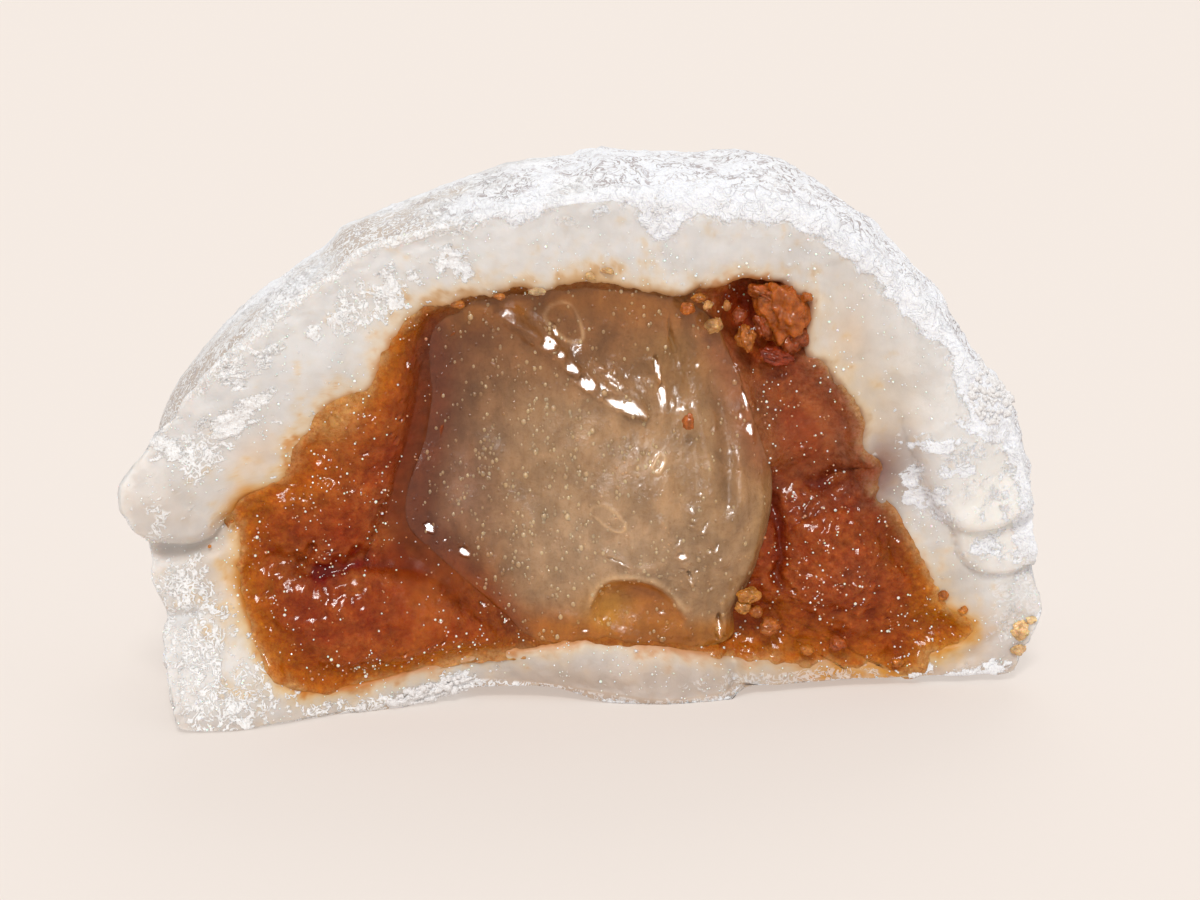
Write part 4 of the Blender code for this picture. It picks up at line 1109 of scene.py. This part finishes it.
def dough_looks():
    """Translucent rice dough, with matt starch where the dust attribute says."""
    looks = Looks("rice_dough")
    dust, thick, outside, rear = (looks.attribute(name, "Fac") for name in ("dust", "thick", "outside", "rear"))
    grain = looks.noise(0.26, 5.0, 0.85)
    clumps = looks.noise(1.1, 3.0, 0.65)
    spread = looks.math("ADD", looks.math("MULTIPLY", grain, 2.6), looks.math("MULTIPLY", clumps, 1.1))
    level = looks.math("ADD", spread, looks.math("SUBTRACT", looks.math("MULTIPLY", dust, 1.35), 2.55))
    thin = looks.math("MULTIPLY", outside, looks.ramp(thick, 0.15, 0.5, 0.85, 0.0))
    powder = looks.math("MULTIPLY", looks.ramp(level, -0.02, 0.05), looks.math("SUBTRACT", 1.0, thin))
    # Starch that has dried on as fine curly threads, and the same curls as cracks where it lies thick.
    curl = looks.math("ABSOLUTE", looks.math("SUBTRACT", looks.noise(0.66, 1.0, 0.5, 2.0), 0.5))
    coated = looks.ramp(dust, 0.1, 0.26)
    threads = looks.math("MULTIPLY", looks.ramp(curl, 0.066, 0.082, 1.0, 0.0), looks.math("MULTIPLY", coated, looks.ramp(thick, 0.3, 0.75, 1.0, 0.3)))
    cracks = looks.math("ABSOLUTE", looks.math("SUBTRACT", looks.noise(0.75, 2.0, 0.5, 1.0), 0.5))
    cracks = looks.math("MULTIPLY", looks.ramp(cracks, 0.012, 0.045, 1.0, 0.0), looks.ramp(looks.noise(2.4), 0.34, 0.54))
    cracks = looks.math("MULTIPLY", cracks, looks.ramp(rear, 0.0, 1.0, 1.0, 0.25))
    cover = looks.math("MAXIMUM", powder, threads)
    tint = looks.attribute("tint")
    mottle = looks.ramp(looks.noise(2.6, 4.0, 0.6), 0.35, 0.7, 0.0, 0.3)
    body = looks.mix(mottle, tint, (0.82, 0.8, 0.78, 1.0), "MULTIPLY")
    body = looks.mix(looks.math("MULTIPLY", coated, outside), body, looks.mix(looks.math("MAXIMUM", looks.ramp(thick, 0.0, 0.4), looks.ramp(rear, 0.1, 0.75)), rgba(198, 184, 173), rgba(240, 236, 233)))
    fine = looks.noise(0.12, 3.0, 0.7)
    shade = looks.mix(thick, rgba(238, 234, 231), rgba(236, 237, 246))
    bright = looks.mix(thick, rgba(254, 254, 255), rgba(250, 252, 255))
    white = looks.mix(looks.ramp(fine, 0.36, 0.56), shade, bright)
    colour = looks.mix(cover, body, white)
    colour = looks.mix(looks.math("MULTIPLY", looks.math("MULTIPLY", cracks, cover), looks.math("MULTIPLY", outside, 0.9)), colour, rgba(182, 170, 170))
    height = looks.math("ADD", looks.math("MULTIPLY", cover, looks.math("ADD", fine, 0.3)), looks.math("MULTIPLY", looks.noise(0.8, 3.0, 0.55), 0.3))
    height = looks.math("SUBTRACT", height, looks.math("MULTIPLY", cracks, looks.math("MULTIPLY", cover, 0.5)))
    height = looks.math("ADD", height, looks.math("MULTIPLY", grain, 0.22))
    normal = looks.bump(height, 0.09)
    roughness = looks.math("ADD", looks.ramp(powder, 0.0, 1.0, 0.46, 0.88), looks.ramp(fine, 0.3, 0.7, -0.06, 0.06))
    scatter = looks.ramp(looks.math("MAXIMUM", cover, looks.math("MULTIPLY", coated, outside)), 0.0, 1.0, 0.8, 0.05)
    parts = looks.node("ShaderNodeSeparateColor")
    looks.feed(parts.inputs["Color"], tint)
    stained = looks.math("SUBTRACT", parts.outputs["Red"], parts.outputs["Blue"])
    scatter = looks.math("MULTIPLY", scatter, looks.ramp(stained, 0.1, 0.35, 1.0, 0.15))
    shader = looks.shader
    shader.inputs["Subsurface Radius"].default_value = (1.0, 0.84, 0.72)
    shader.inputs["Subsurface Scale"].default_value = 0.9 * MM
    shader.inputs["Specular IOR Level"].default_value = 0.25
    return looks.finish(colour, roughness, normal, Subsurface_Weight=scatter)


def paste_looks():
    """Sweet bean paste: moist, grainy and syrup-stained."""
    looks = Looks("bean_paste")
    wet = looks.attribute("wet", "Fac")
    dry = looks.ramp(wet, 0.1, 0.8, 1.0, 0.25)
    grain = looks.noise(0.34, 5.0, 0.75)
    husks = looks.specks(0.5)
    colour = looks.mix(looks.math("MULTIPLY", looks.ramp(grain, 0.42, 0.62), dry), looks.attribute("tint"), (0.8, 0.62, 0.42, 1.0), "MULTIPLY")
    colour = looks.mix(looks.math("MULTIPLY", looks.ramp(husks, 0.05, 0.3, 1.0, 0.0), dry), colour, (1.3, 1.45, 1.5, 1.0), "MULTIPLY")
    height = looks.math("SUBTRACT", looks.math("MULTIPLY", husks, -0.5), grain)
    normal = looks.bump(looks.math("MULTIPLY", height, dry), 0.16)
    roughness = looks.math("ADD", looks.ramp(wet, 0.0, 1.0, 0.36, 0.16), looks.ramp(looks.noise(0.9, 3.0, 0.6), 0.3, 0.7, -0.12, 0.12))
    shader = looks.shader
    shader.inputs["Subsurface Weight"].default_value = 0.35
    shader.inputs["Subsurface Radius"].default_value = (1.0, 0.3, 0.08)
    shader.inputs["Subsurface Scale"].default_value = 0.45 * MM
    shader.inputs["Coat Weight"].default_value = 0.2
    shader.inputs["Coat Roughness"].default_value = 0.1
    shader.inputs["Specular IOR Level"].default_value = 0.06
    return looks.finish(colour, roughness, normal)


def jelly_looks():
    """Cloudy, almost clear jelly with fine bubbles in it."""
    looks = Looks("cloudy_jelly")
    cloud = looks.noise(1.4, 4.0, 0.6, 0.4)
    fine = looks.noise(0.24, 4.0, 0.75)
    bubbles = looks.specks(0.62)
    tiny = looks.specks(0.33)
    fibres = looks.noise(0.5, 4.0, 0.65, stretch=(1.0, 1.0, 0.3))
    colour = looks.mix(looks.ramp(cloud, 0.32, 0.66), looks.attribute("tint"), (1.36, 1.38, 1.4, 1.0), "MULTIPLY")
    colour = looks.mix(looks.ramp(fine, 0.45, 0.7, 0.0, 0.8), colour, (0.84, 0.79, 0.72, 1.0), "MULTIPLY")
    colour = looks.mix(looks.ramp(fibres, 0.4, 0.65), colour, (0.93, 0.9, 0.86, 1.0), "MULTIPLY")
    here = looks.ramp(looks.noise(2.2, 2.0, 0.5), 0.42, 0.6)
    # Painted highlight on the rims of the bubbles.
    rim = looks.math("MULTIPLY", looks.ramp(bubbles, 0.05, 0.11), looks.ramp(bubbles, 0.11, 0.18, 1.0, 0.0))
    colour = looks.mix(looks.math("MULTIPLY", rim, here), colour, (1.4, 1.38, 1.34, 1.0), "MULTIPLY")
    colour = looks.mix(looks.math("MULTIPLY", looks.ramp(tiny, 0.04, 0.14, 1.0, 0.0), here), colour, (1.3, 1.3, 1.28, 1.0), "MULTIPLY")
    height = looks.math("ADD", looks.math("MULTIPLY", looks.math("ADD", fine, fibres), 0.6), looks.ramp(bubbles, 0.05, 0.2, 0.6, 0.0))
    normal = looks.bump(height, 0.07)
    roughness = looks.ramp(looks.noise(1.0, 3.0, 0.6), 0.3, 0.7, 0.12, 0.26)
    shader = looks.shader
    shader.inputs["Subsurface Weight"].default_value = 0.5
    shader.inputs["Subsurface Radius"].default_value = (1.0, 0.7, 0.42)
    shader.inputs["Subsurface Scale"].default_value = 0.7 * MM
    shader.inputs["Coat Weight"].default_value = 0.35
    shader.inputs["Coat Roughness"].default_value = 0.1
    shader.inputs["Specular IOR Level"].default_value = 0.25
    return looks.finish(colour, roughness, normal)


def starch_looks():
    """Clumps of dry starch."""
    looks = Looks("starch")
    fine = looks.noise(0.09, 3.0, 0.7)
    colour = looks.mix(looks.ramp(fine, 0.3, 0.7), rgba(222, 218, 216), rgba(246, 246, 247))
    return looks.finish(colour, looks.ramp(fine, 0.3, 0.7, 0.8, 0.95), looks.bump(fine, 0.04), Specular_IOR_Level=0.3)


def crumb_looks():
    """Crumbs of paste and dots of syrup, in the tint of each."""
    looks = Looks("paste_crumb")
    grain = looks.noise(0.3, 5.0, 0.75)
    colour = looks.mix(looks.ramp(grain, 0.45, 0.62, 0.0, 0.6), looks.attribute("tint"), (0.62, 0.46, 0.32, 1.0), "MULTIPLY")
    colour = looks.mix(looks.ramp(grain, 0.32, 0.45, 0.8, 0.0), colour, (1.45, 1.5, 1.4, 1.0), "MULTIPLY")
    roughness = looks.ramp(looks.noise(0.5, 3.0, 0.6), 0.35, 0.65, 0.22, 0.5)
    shader = looks.shader
    shader.inputs["Specular IOR Level"].default_value = 0.2
    shader.inputs["Subsurface Weight"].default_value = 0.4
    shader.inputs["Subsurface Radius"].default_value = (1.0, 0.4, 0.12)
    shader.inputs["Subsurface Scale"].default_value = 0.4 * MM
    shader.inputs["Coat Weight"].default_value = 0.25
    shader.inputs["Coat Roughness"].default_value = 0.12
    return looks.finish(colour, roughness, looks.bump(grain, -0.12))


def bead_and_glint_looks():
    """Beads of clear syrup and small bubbles, in the tint of what they sit on, and near-white beads that are painted
    glints.
    """
    looks = Looks("bead_and_painted_glint")
    fine = looks.noise(0.2, 2.0, 0.5)
    colour = looks.mix(looks.ramp(fine, 0.3, 0.7, 0.0, 0.25), looks.attribute("tint"), rgba(250, 238, 220))
    shader = looks.shader
    shader.inputs["Subsurface Weight"].default_value = 0.5
    shader.inputs["Subsurface Scale"].default_value = 0.3 * MM
    shader.inputs["Coat Weight"].default_value = 1.0
    shader.inputs["Coat Roughness"].default_value = 0.03
    return looks.finish(colour, looks.ramp(fine, 0.3, 0.7, 0.08, 0.16), looks.bump(fine, 0.01))


# ---------------------------------------------------------------- grains, crumbs and bubbles


def unit_ball(detail):
    shape = bmesh.new()
    bmesh.ops.create_icosphere(shape, subdivisions=detail, radius=1.0)
    shape.verts.ensure_lookup_table()
    points = np.array([v.co[:] for v in shape.verts])
    faces = np.array([[v.index for v in f.verts] for f in shape.faces])
    shape.free()
    return points, faces


def lumps(spots, sizes, rng, detail=1, lumpy=0.2, stretch=(1, 1, 1)):
    """One small ball for each spot, turned at random unless it is stretched, with uneven radii."""
    ball, faces = unit_ball(detail)
    count = len(spots)
    turns = np.linalg.qr(rng.normal(size=(count, 3, 3)))[0]
    radii = 1 + lumpy * rng.uniform(-1, 1, (count, len(ball), 1))
    points = np.einsum("nij,vj->nvi", turns, ball) * radii
    points = points * np.array(stretch) * np.reshape(sizes, (-1, 1, 1)) + spots[:, None]
    shifts = np.arange(count)[:, None, None] * len(ball)
    return points.reshape(-1, 3), (faces[None] + shifts).reshape(-1, 3)


def point_areas(points, faces):
    a, b, c = (points[faces[:, k]] for k in range(3))
    area = np.linalg.norm(np.cross(b - a, c - a), axis=1) / 6
    return sum(np.bincount(faces[:, k], area, len(points)) for k in range(3))


def chosen(points, faces, density, rng):
    """Points of the mesh picked at random, about density of them to each square millimetre."""
    return np.flatnonzero(rng.random(len(points)) < point_areas(points, faces) * density)


def make_starch(points, faces, zone, dust):
    """Loose starch: fine grains all over the dusted dough, and fluffy clumps under its left end."""
    rng = np.random.default_rng(81)
    xz = points[:, [0, 2]]
    normals = normals_of(points, faces)
    shown = (zone < 2.0) & (points[:, 2] > 0.25)
    front = smooth(zone, 0.1, 0.5)
    patches = smooth(zone, 1.0, 1.1)
    density = smooth(dust, 0.4, 0.9) * (0.5 + 2.0 * front + 3.0 * patches)
    heap = np.zeros(len(points))
    for x, z, half_width, half_height, amount in (
        (-9.0, 0.7, 1.7, 0.6, 30), (-7.2, 1.1, 0.9, 0.6, 22), (-11.5, 0.3, 1.6, 0.3, 14), (24.2, 18.0, 1.3, 1.6, 12), (19.8, 1.0, 1.0, 0.4, 10),
    ):
        heap += amount * (blob(xz, x, z, half_width, half_height) > 0.3)
    heap *= (zone > 0.55)
    clusters = smooth(noise(points, 1.3, 83), 0.0, 0.45)
    where = chosen(points, faces, (density * (0.25 + 2.2 * clusters) + heap) * shown, rng)
    sizes = rng.uniform(0.03, 0.075, len(where)) * (1 + 1.6 * (heap[where] > 0))
    sizes *= np.where(rng.random(len(where)) < 0.06, 1.7, 1.0)
    spots = points[where] + normals[where] * (sizes * 0.2)[:, None]
    grains, grain_faces = lumps(spots, sizes, rng, 1, 0.3)
    grains[:, 2] = np.maximum(grains[:, 2], 0.01)
    add_piece("starch_grains", grains, grain_faces, starch_looks(), None)


CRUMBS = (
    # x, z, height above the cut plane, half sizes, tint
    (12.0, 23.0, -0.35, (1.35, 1.3, 1.75), (178, 92, 22)),
    (12.5, 21.5, -0.3, (0.8, 0.8, 0.9), (158, 74, 22)),
    (11.0, 24.2, -0.3, (1.0, 0.7, 0.55), (168, 86, 28)),
    (10.8, 22.2, -0.4, (0.5, 0.5, 0.8), (158, 72, 20)),
    (13.2, 24.0, 0.05, (0.35, 0.35, 0.3), (196, 110, 40)),
    (11.4, 20.6, 0.1, (0.9, 0.6, 0.45), (140, 50, 12)),
    (9.7, 21.7, 0.3, (0.5, 0.6, 0.8), (180, 104, 32)),
    (9.3, 22.9, -0.2, (0.4, 0.4, 0.45), (150, 66, 16)),
    (6.2, 23.7, 0.5, (0.42, 0.4, 0.38), (176, 96, 26)),
    (6.9, 24.2, 0.3, (0.4, 0.35, 0.22), (188, 118, 48)),
    (7.8, 22.6, 0.6, (0.5, 0.4, 0.42), (192, 142, 84)),
    (7.4, 23.8, 0.5, (0.3, 0.3, 0.26), (200, 150, 92)),
    (8.5, 23.7, 0.4, (0.26, 0.3, 0.3), (180, 116, 56)),
    (6.1, 17.3, 2.0, (0.34, 0.26, 0.46), (186, 104, 40)),
    (9.9, 6.3, 1.0, (0.6, 0.6, 0.45), (190, 124, 48)),
    (9.5, 5.6, 0.9, (0.42, 0.5, 0.34), (196, 132, 60)),
    (10.3, 5.2, 0.6, (0.5, 0.5, 0.4), (176, 100, 30)),
    (11.2, 4.2, 0.5, (0.6, 0.5, 0.5), (178, 98, 28)),
    (26.4, 3.2, -0.05, (0.6, 0.45, 0.52), (244, 204, 150)),
    (26.2, 2.0, -0.05, (0.44, 0.4, 0.32), (244, 206, 152)),
    (27.0, 3.8, -0.1, (0.34, 0.3, 0.26), (246, 212, 164)),
    (-22.9, 14.2, 0.3, (0.14, 0.1, 0.14), (196, 128, 56)),
    (-18.1, 16.8, 0.1, (0.16, 0.1, 0.14), (208, 160, 110)),
    (-20.2, 11.7, 0.1, (0.12, 0.08, 0.1), (192, 118, 40)),
    (-21.5, 10.2, 0.0, (0.1, 0.08, 0.1), (196, 130, 60)),
    (-10.6, 1.9, 0.2, (0.36, 0.25, 0.2), (198, 152, 106)),
    (-9.9, 1.6, 0.2, (0.2, 0.2, 0.16), (190, 130, 70)),
    (20.4, 1.2, 0.0, (0.3, 0.2, 0.18), (196, 128, 56)),
    (19.0, 1.5, 0.1, (0.36, 0.3, 0.26), (184, 108, 30)),
    (22.8, 4.6, 0.1, (0.3, 0.24, 0.24), (196, 122, 40)),
    (21.6, 5.6, 0.1, (0.3, 0.3, 0.3), (182, 104, 30)),
    (-2.4, 24.8, 0.2, (0.5, 0.35, 0.2), (206, 176, 134)),
    (0.6, 25.6, 0.1, (0.3, 0.2, 0.24), (210, 172, 122)),
    (1.6, 25.9, 0.1, (0.36, 0.2, 0.18), (206, 168, 116)),
    (-7.0, 24.2, 0.2, (0.4, 0.3, 0.2), (184, 112, 40)),
    (-4.6, 24.6, 0.2, (0.3, 0.3, 0.18), (180, 112, 46)),
    (15.2, 3.0, 0.5, (0.5, 0.4, 0.4), (170, 84, 24)),
    (13.4, 2.6, 0.4, (0.4, 0.3, 0.3), (184, 110, 34)),
)


def make_crumbs():
    rng = np.random.default_rng(91)
    stacks, tints = [], []
    total = 0
    for x, z, height, half, colour in CRUMBS:
        ball, faces = unit_ball(5 if max(half) > 0.5 else 4)
        size = max(half)
        spot = np.array((x, -height, z))
        probe = ball * size + spot
        near, _ = cells(probe + 0.1 * layered(probe, 0.3, 2, 96)[:, None], 0.3 * size + 0.16, 93)
        shape = 1 + 0.26 * (0.5 - near) + 0.40 * layered(probe, 0.9 * size + 0.2, 5, 95, 0.54)
        points = ball * np.array(half) * shape[:, None]
        turn = rng.uniform(-0.3, 0.3)
        spin = np.array(((math.cos(turn), 0, math.sin(turn)), (0, 1, 0), (-math.sin(turn), 0, math.cos(turn))))
        stacks.append((points @ spin.T + spot, faces + total))
        total += len(points)
        # Random tone, and painted shade in the pits of each crumb.
        lit = 1 + 0.35 * layered(probe, 0.5, 2, 97) - 0.5 * np.clip(near - 0.55, 0, 1)
        tints.append(linear(*colour) * lit[:, None])
    points = np.vstack([p for p, _ in stacks])
    points[:, 2] = np.maximum(points[:, 2], 0.01)
    faces = np.vstack([f for _, f in stacks])
    add_piece("bean_crumbs", points, faces, crumb_looks(), None, {"tint": np.clip(np.vstack(tints), 0, 1)})


def make_beads(dough, paste, jelly):
    """Bright beads on the paste and dough, some of syrup and many near-white as painted glints, and bubbles that stand
    out of the jelly.
    """
    rng = np.random.default_rng(85)
    points, faces, wet, edge = paste
    xz = points[:, [0, 2]]
    shown = (points[:, 1] < 2.5) & (inside_of(xz, FILLING) > 0.1) & (inside_of(xz, CORE) < 0)
    where = chosen(points, faces, shown * (3.0 - 1.6 * wet) * (0.2 + 1.6 * smooth(layered(points, 2.0, 2, 87), -0.15, 0.5)), rng)
    sizes = rng.uniform(0.03, 0.08, len(where)) * np.where(rng.random(len(where)) < 0.12, 1.5, 1)
    spots = points[where] + normals_of(points, faces)[where] * (sizes * 0.3)[:, None]
    # Half of the paste's beads are near-white: painted glints.
    tint = mixed(np.tile(linear(196, 124, 72), (len(where), 1)), linear(255, 244, 232), rng.random(len(where)) < 0.5)
    groups = [(spots, sizes, tint, (1, 1, 1))]
    points, faces, zone, dust = dough
    xz = points[:, [0, 2]]
    shown = (zone > 0.9) & (zone < 1.97) & (dust < 0.4)
    where = chosen(points, faces, shown * 2.6 * (0.25 + 1.6 * smooth(noise(points, 3.0, 88), -0.2, 0.5)), rng)
    sizes = rng.uniform(0.03, 0.065, len(where)) * np.where(rng.random(len(where)) < 0.1, 1.7, 1)
    spots = points[where] + normals_of(points, faces)[where] * (sizes * 0.2)[:, None]
    # The dough's beads are all near-white: painted glints.
    groups.append((spots, sizes, np.tile(linear(255, 254, 252), (len(where), 1)), (1, 1, 1)))
    add_balls("beads_and_painted_glints", groups, rng, 1, bead_and_glint_looks())

    points, faces, zone, tints = jelly
    xz = points[:, [0, 2]]
    dense = (0.2 + blob(xz, -3.4, 13.0, 4.6, 7.0) + 0.4 * blob(xz, 3.0, 8.0, 3.0, 3.0)) * (0.3 + 1.6 * smooth(noise(points, 1.8, 89), -0.3, 0.4))
    where = chosen(points, faces, (zone > 1.03) * dense * 4.0, rng)
    sizes = rng.uniform(0.05, 0.14, len(where)) * np.where(rng.random(len(where)) < 0.12, 1.5, 1)
    spots = points[where] - normals_of(points, faces)[where] * (sizes * 0.45)[:, None]
    tint = mixed(tints[where] * 1.25, linear(206, 174, 134), rng.uniform(0.05, 0.6, len(where)))
    add_balls("jelly_bubbles", [(spots, sizes, tint, (0.95, 0.95, 1.25))], rng, 2, bpy.data.materials["cloudy_jelly"])


def add_balls(name, groups, rng, detail, material):
    shapes, colours, total = [], [], 0
    for spots, sizes, tint, stretch in groups:
        made, made_faces = lumps(spots, sizes, rng, detail, 0.04, stretch)
        shapes.append((made, made_faces + total))
        total += len(made)
        colours.append(np.repeat(tint, len(made) // len(spots), axis=0))
    points, faces = np.vstack([p for p, _ in shapes]), np.vstack([f for _, f in shapes])
    add_piece(name, points, faces, material, None, {"tint": np.clip(np.vstack(colours), 0, 1)})


# ---------------------------------------------------------------- camera, light and floor


def make_camera():
    turn, rise, distance = math.radians(-7), math.radians(16), 0.27
    target = Vector((1.2, CUT_PLANE_Y, 15.2)) * MM
    back = Vector((math.sin(turn) * math.cos(rise), -math.cos(turn) * math.cos(rise), math.sin(rise)))
    data = bpy.data.cameras.new("camera")
    data.sensor_width = 36.0
    data.lens = 36.0 * distance / (1200 * 0.058 * MM)
    data.clip_start, data.clip_end = 0.01, 20.0
    camera = bpy.data.objects.new("camera", data)
    camera.location = target + back * distance
    camera.rotation_euler = back.to_track_quat("Z", "Y").to_euler()
    bpy.context.scene.collection.objects.link(camera)
    bpy.context.scene.camera = camera


def make_light(name, kind, azimuth, elevation, energy, colour=(1, 1, 1), size=None, distance=0.5, gloss_only=False):
    """A light that shines at the cut face from that direction; azimuth 0 is in front of it."""
    data = bpy.data.lights.new(name, kind)
    data.energy, data.color = energy, colour
    turn, rise = math.radians(azimuth), math.radians(elevation)
    back = Vector((math.sin(turn) * math.cos(rise), -math.cos(turn) * math.cos(rise), math.sin(rise)))
    if kind == "SUN":
        data.angle = math.radians(size)
    else:
        data.shape, data.size = "DISK", size
    light = bpy.data.objects.new(name, data)
    light.location = Vector((0, CUT_PLANE_Y * MM, 0.014)) + back * distance
    light.rotation_euler = back.to_track_quat("Z", "Y").to_euler()
    light.visible_diffuse = not gloss_only
    bpy.context.scene.collection.objects.link(light)


def make_studio():
    scene = bpy.context.scene
    world = bpy.data.worlds.new("studio")
    scene.world = world
    world.use_nodes = True
    tree = world.node_tree
    fill = tree.nodes["Background"]
    fill.inputs["Color"].default_value = (1.0, 0.985, 0.965, 1.0)
    fill.inputs["Strength"].default_value = 0.72
    seen = tree.nodes.new("ShaderNodeBackground")
    seen.inputs["Color"].default_value = rgba(244, 234, 226)
    path = tree.nodes.new("ShaderNodeLightPath")
    mix = tree.nodes.new("ShaderNodeMixShader")
    tree.links.new(path.outputs["Is Camera Ray"], mix.inputs["Fac"])
    tree.links.new(fill.outputs[0], mix.inputs[1])
    tree.links.new(seen.outputs[0], mix.inputs[2])
    tree.links.new(mix.outputs[0], tree.nodes["World Output"].inputs["Surface"])
    make_light("key", "SUN", -8, 46, 1.4, (1.0, 0.985, 0.965), size=12)
    make_light("sparkle", "SUN", -16, 36, 3.5, (1.0, 0.99, 0.98), size=13, gloss_only=True)
    make_light("behind", "SUN", 165, 38, 0.62, (1.0, 0.99, 0.98), size=40)
    floor_mesh = bpy.data.meshes.new("floor")
    reach = 6.0
    floor_mesh.from_pydata([(-reach, -reach, 0), (reach, -reach, 0), (reach, reach, 0), (-reach, reach, 0)], [], [(0, 1, 2, 3)])
    floor = bpy.data.objects.new("floor", floor_mesh)
    scene.collection.objects.link(floor)
    looks = Looks("pale_floor")
    shader = looks.shader
    shader.inputs["Specular IOR Level"].default_value = 0.0
    shader.inputs["Base Color"].default_value = (0.40, 0.3675, 0.345, 1.0)
    shader.inputs["Roughness"].default_value = 0.9
    shader.inputs["Emission Color"].default_value = rgba(244, 234, 226)
    shader.inputs["Emission Strength"].default_value = 0.5
    floor_mesh.materials.append(looks.material)
    scene.view_settings.view_transform = "Standard"
    scene.view_settings.look = "None"


make_camera()
make_studio()
dough = make_dough()
paste = make_paste()
jelly = make_jelly()
make_starch(*dough)
make_crumbs()
make_beads(dough, paste, jelly)
